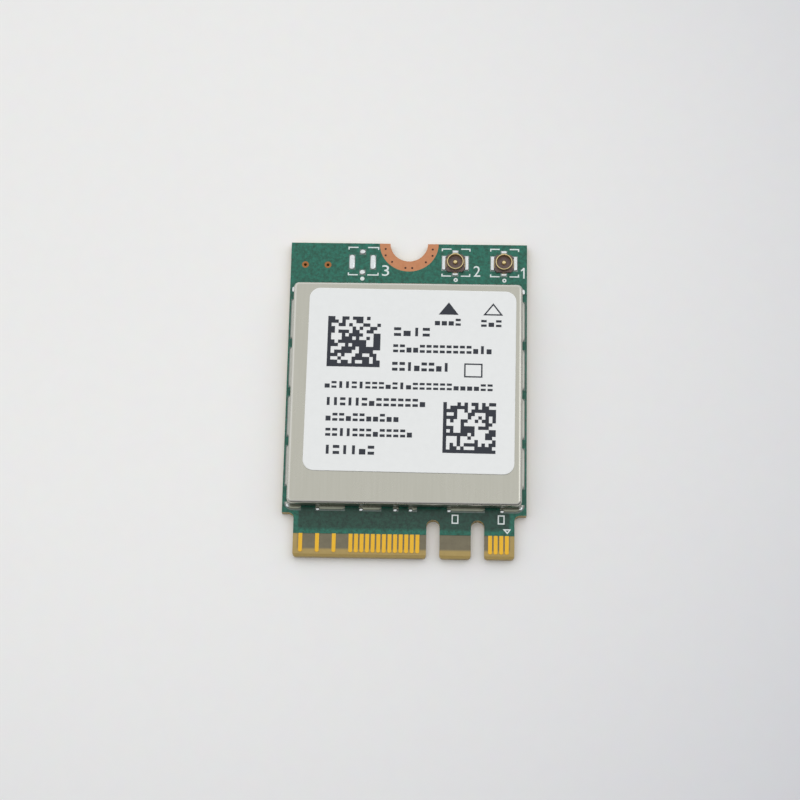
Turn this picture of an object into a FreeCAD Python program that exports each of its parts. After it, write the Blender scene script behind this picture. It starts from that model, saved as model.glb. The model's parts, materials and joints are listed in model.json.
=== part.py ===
import FreeCAD, Part
import math
import os
from collections import namedtuple

import Sketcher
from FreeCAD import Rotation, Vector

# A keyed plug-in wireless card for a laptop, lying component side up.
# The origin is under the middle of the board, +Y points to the screw notch, +Z is up.
# All sizes are millimetres.

SIZES = {
    # Board outline, with the copper and mask films counted in the thickness
    "board_width": 22.0,
    "board_length": 30.0,
    "board_thickness": 0.8,
    "film_thickness": 0.04,
    "tongue_inset": 1.075,
    "tongue_length": 4.0,
    "shoulder_radius": 0.5,
    "tongue_corner_radius": 0.3,
    "bevel_length": 0.32,
    "bevel_depth": 0.15,
    # Key notches, from the centre line and from the front edge
    "key_width": 1.2,
    "key_depth": 3.5,
    "key_e_offset": 2.625,
    "key_a_offset": 6.625,
    # Screw notch with its copper ring
    "notch_radius": 1.75,
    "ring_width": 1.0,
    # Test points, from the left and back edges
    "test_point_radius": 0.32,
    "test_hole_radius": 0.14,
    "test_point_inset": 1.34,
    "test_point_pitch": 2.11,
    "test_point_setback": 2.18,
    # Edge contacts, from the centre line and from the front edge
    "first_contact_offset": 9.25,
    "contact_pitch": 0.5,
    "contact_width": 0.35,
    "contact_setback": 0.4,
    "contact_corner": 0.1,
    "mask_setback": 2.1,
    # Shield can: its height follows from the tallest piece under it
    "can_side_gap": 0.45,
    "can_front_gap": 0.5,
    "can_back_gap": 4.5,
    "can_sheet": 0.2,
    "can_corner_radius": 0.5,
    "can_bend_radius": 0.25,
    "lid_clearance": 0.15,
    # Gaps between the feet of the can
    "foot_gap_height": 0.35,
    "foot_gap_width": 0.8,
    "foot_pitch": 4.7,
    "back_corner_to_gap": 0.72,
    "front_corner_foot": 0.48,
    "corner_gap_width": 1.44,
    "front_gap_1_centre": -8.63,
    "front_gap_1_width": 1.32,
    "front_gap_2_centre": -4.69,
    "front_gap_2_width": 1.26,
    "front_gap_3_centre": -1.52,
    "front_gap_3_width": 1.04,
    "front_gap_4_centre": -0.05,
    "front_gap_4_width": 0.9,
    "front_gap_5_centre": 2.51,
    "front_gap_5_width": 2.7,
    "front_gap_6_centre": 7.94,
    "front_gap_6_width": 1.36,
    # Solder fillet along the feet and the land under them
    "fillet_width": 0.26,
    "fillet_tip": 0.03,
    "fillet_height": 0.3,
    "shield_land_margin": 0.05,
    # Label, from the edges of the can
    "label_left_gap": 1.39,
    "label_right_gap": 0.71,
    "label_front_gap": 3.07,
    "label_back_gap": 0.48,
    "label_radius": 1.0,
    "label_thickness": 0.1,
    "label_turn": 0.49,
    # Antenna jacks, from the right edge, the centre line and the back edge
    "jack_1_inset": 2.15,
    "inner_jack_offset": 4.32,
    "jack_setback": 1.88,
    "jack_radius": 0.775,
    "jack_wall": 0.1,
    "jack_draft": 0.03,
    "jack_height": 0.6,
    "jack_rim_bevel": 0.03,
    "neck_height": 0.34,
    "neck_depth": 0.06,
    "leg_sheet": 0.1,
    "leg_width": 0.9,
    "back_leg_width": 0.46,
    "leg_root": 0.45,
    "base_width": 1.7,
    "base_length": 1.8,
    "base_height": 0.22,
    "pin_radius": 0.21,
    "pin_height": 0.5,
    "pin_tip_bevel": 0.1,
    "tail_sheet": 0.06,
    "tail_width": 0.3,
    # Lands of a jack, from its middle, and the solder on them
    "side_land_start": 0.68,
    "side_land_end": 1.28,
    "side_land_length": 1.5,
    "end_land_start": 0.74,
    "end_land_end": 1.3,
    "end_land_width": 0.6,
    "leg_to_land_end": 0.12,
    "bead_margin": 0.03,
    "bead_height": 0.15,
    "bead_slope": 0.09,
    "spare_bead_height": 0.09,
    # Pieces under the can
    "lead_height": 0.05,
    "lead_length": 0.4,
    "lead_width": 0.25,
    "lead_pitch": 0.5,
    "radio_size": 7.0,
    "radio_height": 0.8,
    "radio_paddle": 4.0,
    "pin_mark_radius": 0.25,
    "pin_mark_depth": 0.05,
    "pin_mark_inset": 0.6,
    "front_end_size": 2.5,
    "front_end_height": 0.7,
    "memory_width": 3.0,
    "memory_length": 2.0,
    "memory_height": 0.55,
    "crystal_width": 2.5,
    "crystal_length": 2.0,
    "crystal_base_height": 0.35,
    "crystal_lid_height": 0.2,
    "crystal_lid_margin": 0.15,
    "crystal_pad_width": 0.7,
    "crystal_pad_length": 0.6,
    "inductor_length": 2.0,
    "inductor_width": 1.6,
    "inductor_height": 1.0,
    "inductor_terminal": 0.4,
    "filter_length": 2.0,
    "filter_width": 1.25,
    "filter_height": 0.6,
    "filter_terminal": 0.3,
    "passive_length": 1.0,
    "passive_width": 0.5,
    "passive_pitch": 1.0,
    "passive_terminal": 0.25,
    "capacitor_height": 0.5,
    "resistor_height": 0.35,
    "piece_gap": 0.6,
}

# Runs of edge contacts, counted in steps of the pitch from the first one
ContactRun = namedtuple("ContactRun", "first_step count stride")
TOP_RUNS = [
    ContactRun(first_step=0, count=4, stride=1),
    ContactRun(first_step=16, count=13, stride=1),
    ContactRun(first_step=31, count=3, stride=3),
]
UNDERSIDE_RUNS = [
    ContactRun(first_step=0.5, count=3, stride=1),
    ContactRun(first_step=7.5, count=4, stride=1),
    ContactRun(first_step=15.5, count=22, stride=1),
]
FRONT_GAP_COUNT = 6
SIDE_GAP_COUNT = 4
BACK_GAP_COUNT = 4
RADIO_LEAD_COUNT = 12
FRONT_END_LEAD_COUNT = 3
MEMORY_LEAD_COUNT = 4
CAPACITOR_ROW_COUNT = 6
RESISTOR_ROW_COUNT = 5

doc = FreeCAD.newDocument("wireless_card")
sheet = doc.addObject("Spreadsheet::Sheet", "size")
for row, (alias, number) in enumerate(SIZES.items(), start=1):
    sheet.set(f"A{row}", alias)
    sheet.set(f"B{row}", str(number))
    sheet.setAlias(f"B{row}", alias)
doc.recompute()

# Places that several pieces share, as expressions of the sheet

BOARD_RIGHT = "(size.board_width / 2)"
BOARD_LEFT = "(-size.board_width / 2)"
BOARD_BACK = "(size.board_length / 2)"
BOARD_FRONT = "(-size.board_length / 2)"
BOARD_TOP = "size.board_thickness"
FILM_TOP = "(size.board_thickness - size.film_thickness)"
TONGUE_RIGHT = f"({BOARD_RIGHT} - size.tongue_inset)"
SHOULDER = f"({BOARD_FRONT} + size.tongue_length)"
MASK_FRONT = f"({BOARD_FRONT} + size.mask_setback)"
RING_RADIUS = "(size.notch_radius + size.ring_width)"
CAN_RIGHT = f"({BOARD_RIGHT} - size.can_side_gap)"
CAN_LEFT = f"(-{CAN_RIGHT})"
CAN_FRONT = f"({SHOULDER} + size.can_front_gap)"
CAN_BACK = f"({BOARD_BACK} - size.can_back_gap)"
CAN_MIDDLE = f"(({CAN_FRONT} + {CAN_BACK}) / 2)"
CAN_HEIGHT = "(size.inductor_height + size.lid_clearance + size.can_sheet)"
INNER_RIGHT = f"({CAN_RIGHT} - size.can_sheet)"
INNER_LEFT = f"({CAN_LEFT} + size.can_sheet)"
INNER_FRONT = f"({CAN_FRONT} + size.can_sheet)"
INNER_BACK = f"({CAN_BACK} - size.can_sheet)"
JACK_ROW = f"({BOARD_BACK} - size.jack_setback)"
JACK_PLACES = {
    "jack_1": f"({BOARD_RIGHT} - size.jack_1_inset)",
    "jack_2": "size.inner_jack_offset",
    "spare_jack": "(-size.inner_jack_offset)",
}


def value(expression):
    """The number that an expression gives now."""
    return float(sheet.evalExpression(expression))


# Sketches and features

def add_body(label, x="0", y="0", z="0"):
    body = doc.addObject("PartDesign::Body", label)
    body.Label = label
    body.setExpression("Placement.Base.x", x)
    body.setExpression("Placement.Base.y", y)
    body.setExpression("Placement.Base.z", z)
    return body


def origin_part(body, role):
    return next(part for part in body.Origin.OriginFeatures if part.Role == role)


def add_sketch(body, name, role="XY_Plane", rise="0"):
    sketch = body.newObject("Sketcher::SketchObject", f"{body.Name}_{name}")
    sketch.AttachmentSupport = (origin_part(body, role), [""])
    sketch.MapMode = "FlatFace"
    sketch.setExpression("AttachmentOffset.Base.z", rise)
    return sketch


def dimension(sketch, expression, kind, *ends):
    """Adds a constraint whose datum is bound to an expression."""
    index = sketch.addConstraint(Sketcher.Constraint(kind, *ends, value(expression)))
    sketch.setExpression(f"Constraints[{index}]", expression)


def place_point(sketch, curve, end, x, y):
    dimension(sketch, x, "DistanceX", -1, 1, curve, end)
    dimension(sketch, y, "DistanceY", -1, 1, curve, end)


def add_polygon(sketch, points):
    """Closed outline of straight lines, each corner at a bound place."""
    spots = [Vector(value(x), value(y), 0) for x, y in points]
    lines = []
    for start, end in zip(spots, spots[1:] + spots[:1]):
        lines.append(sketch.addGeometry(Part.LineSegment(start, end), False))
    for line, follower in zip(lines, lines[1:] + lines[:1]):
        sketch.addConstraint(Sketcher.Constraint("Coincident", line, 2, follower, 1))
    for line, (x, y) in zip(lines, points):
        place_point(sketch, line, 1, x, y)


def add_rectangle(sketch, left, right, front, back):
    add_polygon(sketch, [(left, front), (right, front), (right, back), (left, back)])


def add_circle(sketch, x, y, radius):
    circle = Part.Circle(Vector(value(x), value(y), 0), Vector(0, 0, 1), value(radius))
    index = sketch.addGeometry(circle, False)
    place_point(sketch, index, 3, x, y)
    dimension(sketch, radius, "Radius", index)


def add_rounded_rectangle(sketch, left, right, front, back, radius):
    """Rectangle with four equal rounded corners, drawn from the front left one round by the right."""
    spots = [
        Vector(value(left), value(front), 0),
        Vector(value(right), value(front), 0),
        Vector(value(right), value(back), 0),
        Vector(value(left), value(back), 0),
    ]
    ways = [Vector(1, 0, 0), Vector(0, 1, 0), Vector(-1, 0, 0), Vector(0, -1, 0)]
    trim = value(radius)
    sides = []
    for start, end, way in zip(spots, spots[1:] + spots[:1], ways):
        sides.append(sketch.addGeometry(Part.LineSegment(start + way * trim, end - way * trim), False))
    for corner, spot in enumerate(spots):
        centre = spot + (ways[corner] - ways[corner - 1]) * trim
        turn = math.pi * (1 + corner / 2)
        circle = Part.Circle(centre, Vector(0, 0, 1), trim)
        arc = sketch.addGeometry(Part.ArcOfCircle(circle, turn, turn + math.pi / 2), False)
        sketch.addConstraint(Sketcher.Constraint("Tangent", sides[corner - 1], 2, arc, 1))
        sketch.addConstraint(Sketcher.Constraint("Tangent", arc, 2, sides[corner], 1))
        dimension(sketch, radius, "Radius", arc)
    for side, kind in zip(sides, ("Horizontal", "Vertical", "Horizontal", "Vertical")):
        sketch.addConstraint(Sketcher.Constraint(kind, side))
    dimension(sketch, front, "DistanceY", -1, 1, sides[0], 1)
    dimension(sketch, right, "DistanceX", -1, 1, sides[1], 1)
    dimension(sketch, back, "DistanceY", -1, 1, sides[2], 1)
    dimension(sketch, left, "DistanceX", -1, 1, sides[3], 1)


def add_feature(body, kind, name):
    feature = body.newObject(f"PartDesign::{kind}", f"{body.Name}_{name}")
    body.Tip = feature
    return feature


def pad(body, sketch, length, taper=None):
    feature = add_feature(body, "Pad", f"{sketch.Name}_pad")
    feature.Profile = sketch
    feature.setExpression("Length", length)
    if taper:
        feature.setExpression("TaperAngle", taper)
    return feature


def current_shape(body):
    doc.recompute()
    return body.Shape


def pocket_through(body, sketch, way="Symmetric", reverse=False):
    """Cuts the sketch right through the body, both ways or one way, and checks that it met the solid."""
    volume = current_shape(body).Volume
    feature = add_feature(body, "Pocket", f"{sketch.Name}_pocket")
    feature.Profile = sketch
    feature.Type = "ThroughAll"
    feature.SideType = way
    feature.Reversed = reverse
    if current_shape(body).Volume >= volume:
        raise RuntimeError(f"{feature.Name} cuts nothing")


def dress(body, kind, name, size_name, size, elements):
    """Rounds, bevels or shells the named edges or faces of the body."""
    base = body.Tip
    feature = add_feature(body, kind, name)
    feature.Base = (base, elements)
    feature.setExpression(size_name, size)
    return feature


def upright_edges(body, spots):
    """Names of the upright edges that stand at the given places."""
    names = []
    for index, edge in enumerate(current_shape(body).Edges, start=1):
        ends = [vertex.Point for vertex in edge.Vertexes]
        if len(ends) != 2 or math.dist(ends[0][:2], ends[1][:2]) > 1e-6:
            continue
        if any(math.dist(ends[0][:2], (value(x), value(y))) < 1e-6 for x, y in spots):
            names.append(f"Edge{index}")
    return names


def level_edges(body, height):
    """Names of the edges that lie wholly at a height of the body's own frame."""
    shape = current_shape(body)
    level = value(height) + body.Placement.Base.z
    names = []
    for index, edge in enumerate(shape.Edges, start=1):
        box = edge.BoundBox
        if abs(box.ZMin - level) < 1e-6 and abs(box.ZMax - level) < 1e-6:
            names.append(f"Edge{index}")
    return names


def lowest_face(body):
    faces = current_shape(body).Faces
    lowest = min(range(len(faces)), key=lambda index: faces[index].CenterOfMass.z)
    return f"Face{lowest + 1}"


def add_slab(label, front, bottom, top):
    """Flat block as wide as the board, from a front line to the back edge."""
    slab = doc.addObject("Part::Box", label)
    slab.setExpression("Length", "size.board_width")
    slab.setExpression("Width", f"{BOARD_BACK} - {front}")
    slab.setExpression("Height", f"{top} - {bottom}")
    slab.setExpression("Placement.Base.x", BOARD_LEFT)
    slab.setExpression("Placement.Base.y", front)
    slab.setExpression("Placement.Base.z", bottom)
    return slab


def add_disc(label, x, y, radius, bottom, height):
    disc = doc.addObject("Part::Cylinder", label)
    disc.setExpression("Radius", radius)
    disc.setExpression("Height", height)
    disc.setExpression("Placement.Base.x", x)
    disc.setExpression("Placement.Base.y", y)
    disc.setExpression("Placement.Base.z", bottom)
    return disc


def add_group(label, members):
    group = doc.addObject("Part::Compound", label)
    group.Links = members
    return group


def combine(kind, label, base, tool):
    result = doc.addObject(f"Part::{kind}", label)
    result.Label = label
    result.Base = base
    result.Tool = tool
    result.Refine = True
    return result


# Board outline: tongue, shoulders, key notches, screw notch, test holes and bevelled front edge

def test_point_places():
    first = f"{BOARD_LEFT} + size.test_point_inset"
    y = f"{BOARD_BACK} - size.test_point_setback"
    return [(first, y), (f"{first} + size.test_point_pitch", y)]


def key_sides(offset):
    return f"({offset} - size.key_width / 2)", f"({offset} + size.key_width / 2)"


def build_outline():
    body = add_body("board_outline")
    plate = add_sketch(body, "plate")
    add_rectangle(plate, BOARD_LEFT, BOARD_RIGHT, BOARD_FRONT, BOARD_BACK)
    pad(body, plate, BOARD_TOP)

    shoulders = add_sketch(body, "shoulders")
    add_rectangle(shoulders, TONGUE_RIGHT, BOARD_RIGHT, BOARD_FRONT, SHOULDER)
    add_rectangle(shoulders, BOARD_LEFT, f"-{TONGUE_RIGHT}", BOARD_FRONT, SHOULDER)
    pocket_through(body, shoulders)
    inner_corners = upright_edges(body, [(TONGUE_RIGHT, SHOULDER), (f"-{TONGUE_RIGHT}", SHOULDER)])
    dress(body, "Fillet", "shoulder_round", "Radius", "size.shoulder_radius", inner_corners)

    key_end = f"{BOARD_FRONT} + size.key_depth - size.key_width / 2"
    slots = add_sketch(body, "key_slots")
    ends = add_sketch(body, "key_ends")
    corners = [(TONGUE_RIGHT, BOARD_FRONT), (f"-{TONGUE_RIGHT}", BOARD_FRONT)]
    for offset in ("size.key_e_offset", "size.key_a_offset"):
        left, right = key_sides(offset)
        add_rectangle(slots, left, right, BOARD_FRONT, key_end)
        add_circle(ends, offset, key_end, "size.key_width / 2")
        corners += [(left, BOARD_FRONT), (right, BOARD_FRONT)]
    pocket_through(body, slots)
    pocket_through(body, ends)
    tongue_corners = upright_edges(body, corners)
    dress(body, "Fillet", "tongue_round", "Radius", "size.tongue_corner_radius", tongue_corners)

    notch = add_sketch(body, "notch")
    add_circle(notch, "0", BOARD_BACK, "size.notch_radius")
    pocket_through(body, notch)
    holes = add_sketch(body, "holes")
    for x, y in test_point_places():
        add_circle(holes, x, y, "size.test_hole_radius")
    pocket_through(body, holes)

    bevel = add_sketch(body, "bevel", "YZ_Plane")
    bevel_back = f"{BOARD_FRONT} + size.bevel_length"
    bevel_top = f"{BOARD_TOP} - size.bevel_depth"
    add_polygon(bevel, [(BOARD_FRONT, "0"), (bevel_back, "0"), (BOARD_FRONT, "size.bevel_depth")])
    add_polygon(bevel, [(BOARD_FRONT, BOARD_TOP), (BOARD_FRONT, bevel_top), (bevel_back, BOARD_TOP)])
    pocket_through(body, bevel)
    return body


# Edge contacts: runs of gold fingers, counted in steps from the first one

def build_contacts(label, runs, bottom):
    body = add_body(label, z=bottom)
    for number, run in enumerate(runs, start=1):
        middle = f"size.first_contact_offset - {run.first_step} * size.contact_pitch"
        left = f"{middle} - size.contact_width / 2"
        right = f"{middle} + size.contact_width / 2"
        tip = f"{BOARD_FRONT} + size.contact_setback"
        finger = add_sketch(body, f"run_{number}")
        add_polygon(finger, [
            (f"{left} + size.contact_corner", tip),
            (f"{right} - size.contact_corner", tip),
            (right, f"{tip} + size.contact_corner"),
            (right, MASK_FRONT),
            (left, MASK_FRONT),
            (left, f"{tip} + size.contact_corner"),
        ])
        feature = pad(body, finger, "size.film_thickness")
        repeat(body, feature, "X_Axis", f"{run.stride} * size.contact_pitch", run.count, backwards=True)
    return body


def repeat(body, feature, axis, pitch, count, backwards=False):
    pattern = add_feature(body, "LinearPattern", f"{feature.Name}_row")
    pattern.Originals = [feature]
    pattern.Direction = (origin_part(body, axis), [""])
    pattern.Mode = "Spacing"
    pattern.Reversed = backwards
    pattern.Occurrences = count
    pattern.setExpression("Offset", pitch)


# Shield can, the solder fillets along its feet and the lands below: one set of gaps shapes all three

def gap_span(centre, width):
    return f"{centre} - {width} / 2", f"{centre} + {width} / 2"


def side_gap_spans():
    """Even gaps from the back corner on, and a wide one at the front corner."""
    last = f"{CAN_BACK} - size.back_corner_to_gap"
    for step in range(SIDE_GAP_COUNT):
        yield gap_span(f"{last} - {step} * size.foot_pitch", "size.foot_gap_width")
    corner = f"{CAN_FRONT} + size.front_corner_foot"
    yield corner, f"{corner} + size.corner_gap_width"


def back_gap_spans():
    for step in range(BACK_GAP_COUNT):
        shift = step - (BACK_GAP_COUNT - 1) / 2
        yield gap_span(f"{shift} * size.foot_pitch", "size.foot_gap_width")


def front_gap_spans():
    for number in range(1, FRONT_GAP_COUNT + 1):
        yield gap_span(f"size.front_gap_{number}_centre", f"size.front_gap_{number}_width")


def cut_foot_gaps(body, height):
    """Cuts the gaps outwards through each wall, from just inside it."""
    reach = "(2 * (size.can_sheet + size.shield_land_margin))"
    walls = [
        ("right", "YZ_Plane", f"{CAN_RIGHT} - {reach}", True, side_gap_spans()),
        ("left", "YZ_Plane", f"{CAN_LEFT} + {reach}", False, side_gap_spans()),
        ("back", "XZ_Plane", f"{reach} - {CAN_BACK}", False, back_gap_spans()),
        ("front", "XZ_Plane", f"-{reach} - {CAN_FRONT}", True, front_gap_spans()),
    ]
    for wall, plane, rise, reverse, spans in walls:
        gaps = add_sketch(body, f"{wall}_gaps", plane, rise)
        for start, end in spans:
            add_rectangle(gaps, start, end, f"-{height}", height)
        pocket_through(body, gaps, "One side", reverse)


def add_can_outline(sketch, growth):
    """Outline of the can's outer wall, grown by a width all round."""
    add_rounded_rectangle(
        sketch,
        f"{CAN_LEFT} - {growth}",
        f"{CAN_RIGHT} + {growth}",
        f"{CAN_FRONT} - {growth}",
        f"{CAN_BACK} + {growth}",
        f"size.can_corner_radius + {growth}",
    )


def build_can():
    body = add_body("shield_can", z=BOARD_TOP)
    outline = add_sketch(body, "outline")
    add_can_outline(outline, "0")
    pad(body, outline, CAN_HEIGHT)
    dress(body, "Fillet", "bend", "Radius", "size.can_bend_radius", level_edges(body, CAN_HEIGHT))
    shell = dress(body, "Thickness", "sheet", "Value", "size.can_sheet", [lowest_face(body)])
    shell.Reversed = True
    cut_foot_gaps(body, "size.foot_gap_height")
    return body


def build_shield_solder():
    body = add_body("shield_solder", z=BOARD_TOP)
    outer = add_sketch(body, "outer")
    add_can_outline(outer, "size.fillet_width")
    slope = "-atan((size.fillet_width - size.fillet_tip) / size.fillet_height)"
    pad(body, outer, "size.fillet_height", slope)
    inner = add_sketch(body, "inner")
    add_can_outline(inner, "0")
    pocket_through(body, inner)
    cut_foot_gaps(body, "(2 * size.fillet_height)")
    return body


def build_shield_lands():
    body = add_body("shield_lands", z=FILM_TOP)
    outer = add_sketch(body, "outer")
    add_can_outline(outer, "(size.fillet_width + size.shield_land_margin)")
    pad(body, outer, "size.film_thickness")
    inner = add_sketch(body, "inner")
    add_can_outline(inner, "(-size.can_sheet - size.shield_land_margin)")
    pocket_through(body, inner)
    cut_foot_gaps(body, "(2 * size.film_thickness)")
    return body


# Label on the can, stuck on a little askew

def build_label():
    width = f"({CAN_RIGHT} - {CAN_LEFT} - size.label_left_gap - size.label_right_gap)"
    length = f"({CAN_BACK} - {CAN_FRONT} - size.label_front_gap - size.label_back_gap)"
    body = add_body(
        "label",
        f"{CAN_LEFT} + size.label_left_gap + {width} / 2",
        f"{CAN_FRONT} + size.label_front_gap + {length} / 2",
        f"{BOARD_TOP} + {CAN_HEIGHT}",
    )
    body.Placement.Rotation = Rotation(Vector(0, 0, -1), value("size.label_turn"))
    outline = add_sketch(body, "outline")
    add_rounded_rectangle(
        outline, f"-{width} / 2", f"{width} / 2", f"-{length} / 2", f"{length} / 2", "size.label_radius"
    )
    pad(body, outline, "size.label_thickness")
    return body


# Antenna jacks: a necked ring on three legs, an insulator and a centre contact with a tail

def jack_land_spans():
    """Left, right, front and back of the four lands of a jack, from its middle."""
    half_length = "size.side_land_length / 2"
    half_width = "size.end_land_width / 2"
    return {
        "right": ("size.side_land_start", "size.side_land_end", f"-{half_length}", half_length),
        "left": ("-size.side_land_end", "-size.side_land_start", f"-{half_length}", half_length),
        "back": (f"-{half_width}", half_width, "size.end_land_start", "size.end_land_end"),
        "front": (f"-{half_width}", half_width, "-size.end_land_end", "-size.end_land_start"),
    }


def build_jack_lands(name, x):
    body = add_body(f"{name}_lands", x, JACK_ROW, FILM_TOP)
    lands = add_sketch(body, "lands")
    for left, right, front, back in jack_land_spans().values():
        add_rectangle(lands, left, right, front, back)
    pad(body, lands, "size.film_thickness")
    return body


def build_jack_beads(label, x, height, starts):
    """Sloping solder on the four lands, from a given distance off the middle to near the land's end."""
    body = add_body(label, x, JACK_ROW, BOARD_TOP)
    beads = add_sketch(body, "beads")
    side_start, end_start = starts
    side_end = "(size.side_land_end - size.bead_margin)"
    end_end = "(size.end_land_end - size.bead_margin)"
    half_length = "(size.side_land_length / 2 - size.bead_margin)"
    half_width = "(size.end_land_width / 2 - size.bead_margin)"
    add_rectangle(beads, side_start, side_end, f"-{half_length}", half_length)
    add_rectangle(beads, f"-{side_end}", f"-{side_start}", f"-{half_length}", half_length)
    add_rectangle(beads, f"-{half_width}", half_width, end_start, end_end)
    add_rectangle(beads, f"-{half_width}", half_width, f"-{end_end}", f"-{end_start}")
    pad(body, beads, height, f"-atan(size.bead_slope / {height})")
    return body


def build_jack_shell(name, x):
    body = add_body(f"{name}_shell", x, JACK_ROW, BOARD_TOP)
    side_reach = "(size.side_land_end - size.leg_to_land_end)"
    back_reach = "(size.end_land_end - size.leg_to_land_end)"
    legs = add_sketch(body, "legs")
    half_leg = "size.leg_width / 2"
    half_back_leg = "size.back_leg_width / 2"
    add_rectangle(legs, "size.leg_root", side_reach, f"-{half_leg}", half_leg)
    add_rectangle(legs, f"-{side_reach}", "-size.leg_root", f"-{half_leg}", half_leg)
    add_rectangle(legs, f"-{half_back_leg}", half_back_leg, "size.leg_root", back_reach)
    pad(body, legs, "size.leg_sheet")
    ring = add_sketch(body, "ring", "XZ_Plane")
    outside = "size.jack_radius"
    inside = "size.jack_radius - size.jack_wall"
    neck = "size.jack_radius - size.neck_depth"
    add_polygon(ring, [
        (f"{inside} - size.jack_draft", "size.leg_sheet"),
        (f"{outside} - size.jack_draft", "size.leg_sheet"),
        (neck, "size.neck_height"),
        (outside, "size.neck_height"),
        (outside, "size.jack_height - size.jack_rim_bevel"),
        (f"{outside} - size.jack_rim_bevel", "size.jack_height"),
        (inside, "size.jack_height"),
    ])
    turned = add_feature(body, "Revolution", "turned_ring")
    turned.Profile = ring
    turned.ReferenceAxis = (origin_part(body, "Z_Axis"), [""])
    turned.Angle = 360
    return body


def build_jack_contact(name, x):
    body = add_body(f"{name}_contact", x, JACK_ROW, BOARD_TOP)
    pin = add_sketch(body, "pin")
    add_circle(pin, "0", "0", "size.pin_radius")
    pad(body, pin, "size.pin_height")
    dress(body, "Chamfer", "tip", "Size", "size.pin_tip_bevel", level_edges(body, "size.pin_height"))
    tail = add_sketch(body, "tail")
    tail_end = "-(size.end_land_end - size.leg_to_land_end)"
    add_rectangle(tail, "-size.tail_width / 2", "size.tail_width / 2", tail_end, "0")
    pad(body, tail, "size.tail_sheet")
    return body


def build_jack(name, x):
    """One jack: its pieces are cut by each other's shapes, so that they meet face to face."""
    shell = build_jack_shell(name, x)
    contact = build_jack_contact(name, x)
    metal = add_group(f"{name}_metal", [shell, contact])
    block = add_body(f"{name}_block", x, JACK_ROW, BOARD_TOP)
    base = add_sketch(block, "base")
    half_width = "size.base_width / 2"
    half_length = "size.base_length / 2"
    add_rectangle(base, f"-{half_width}", half_width, f"-{half_length}", half_length)
    pad(block, base, "size.base_height")
    insulator = combine("Cut", f"{name}_insulator", block, metal)
    starts = (f"({half_width} + size.bead_margin)", f"({half_length} + size.bead_margin)")
    beads = build_jack_beads(f"{name}_beads", x, "size.bead_height", starts)
    solder = combine("Cut", f"{name}_solder", beads, metal)
    return [shell, contact, insulator, solder]


# Pieces under the can: chips, leads and terminals are blocks that repeat in rows

Block = namedtuple("Block", "name x y width length axis pitch count")

RADIO_X = "0"
RADIO_Y = CAN_MIDDLE
FILTER_Y = f"({INNER_BACK} - size.piece_gap - size.filter_width / 2)"
FRONT_END_Y = f"({FILTER_Y} - size.filter_width / 2 - size.piece_gap - size.front_end_size / 2)"
RADIO_CHAINS = {"a": JACK_PLACES["jack_1"], "b": JACK_PLACES["jack_2"]}
MEMORY_X = f"({INNER_LEFT} + 2 * size.piece_gap + size.memory_width / 2)"
MEMORY_Y = f"({INNER_BACK} - 2 * size.piece_gap - size.memory_length / 2)"
CRYSTAL_X = f"({INNER_RIGHT} - 2 * size.piece_gap - size.crystal_width / 2)"
CRYSTAL_Y = f"({INNER_FRONT} + 2 * size.piece_gap + size.crystal_length / 2)"
INDUCTOR_X = f"({INNER_LEFT} + 2 * size.piece_gap + size.inductor_length / 2)"
INDUCTOR_Y = f"({INNER_FRONT} + 2 * size.piece_gap + size.inductor_width / 2)"
PASSIVE_STANDOFF = "(size.radio_size / 2 + size.piece_gap + size.passive_length / 2)"


def single(name, x, y, width, length):
    return Block(name, x, y, width, length, None, None, 1)


def lead_rows(name, x, y, width, length, count, four_sides=True):
    """Leads flush with the edges of a chip, on two or on all four sides."""
    span = f"({count - 1} * size.lead_pitch / 2)"
    across = f"({width} / 2 - size.lead_length / 2)"
    along = f"({length} / 2 - size.lead_length / 2)"
    rows = []
    for side, sign in (("front", "-"), ("back", "+")):
        rows.append(Block(
            f"{name}_{side}", f"{x} - {span}", f"{y} {sign} {along}",
            "size.lead_width", "size.lead_length", "X_Axis", "size.lead_pitch", count,
        ))
    for side, sign in (("left", "-"), ("right", "+")) if four_sides else ():
        rows.append(Block(
            f"{name}_{side}", f"{x} {sign} {across}", f"{y} - {span}",
            "size.lead_length", "size.lead_width", "Y_Axis", "size.lead_pitch", count,
        ))
    return rows


def end_terminals(name, x, y, length, width, terminal):
    """The two ends of a piece that lies along X."""
    reach = f"({length} / 2 - {terminal} / 2)"
    return [
        single(f"{name}_left", f"{x} - {reach}", y, terminal, width),
        single(f"{name}_right", f"{x} + {reach}", y, terminal, width),
    ]


def passive_rows():
    """Places of the small passives: name, first middle, row axis and count."""
    span_x = f"({CAPACITOR_ROW_COUNT - 1} * size.passive_pitch / 2)"
    span_y = f"({RESISTOR_ROW_COUNT - 1} * size.passive_pitch / 2)"
    front_row = (f"{RADIO_X} - {span_x}", f"{RADIO_Y} - {PASSIVE_STANDOFF}", "X_Axis", CAPACITOR_ROW_COUNT)
    right_row = (f"{RADIO_X} + {PASSIVE_STANDOFF}", f"{RADIO_Y} - {span_x}", "Y_Axis", CAPACITOR_ROW_COUNT)
    left_row = (f"{RADIO_X} - {PASSIVE_STANDOFF}", f"{RADIO_Y} - {span_y}", "Y_Axis", RESISTOR_ROW_COUNT)
    return {"capacitor": [front_row, right_row], "resistor": [left_row]}


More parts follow.
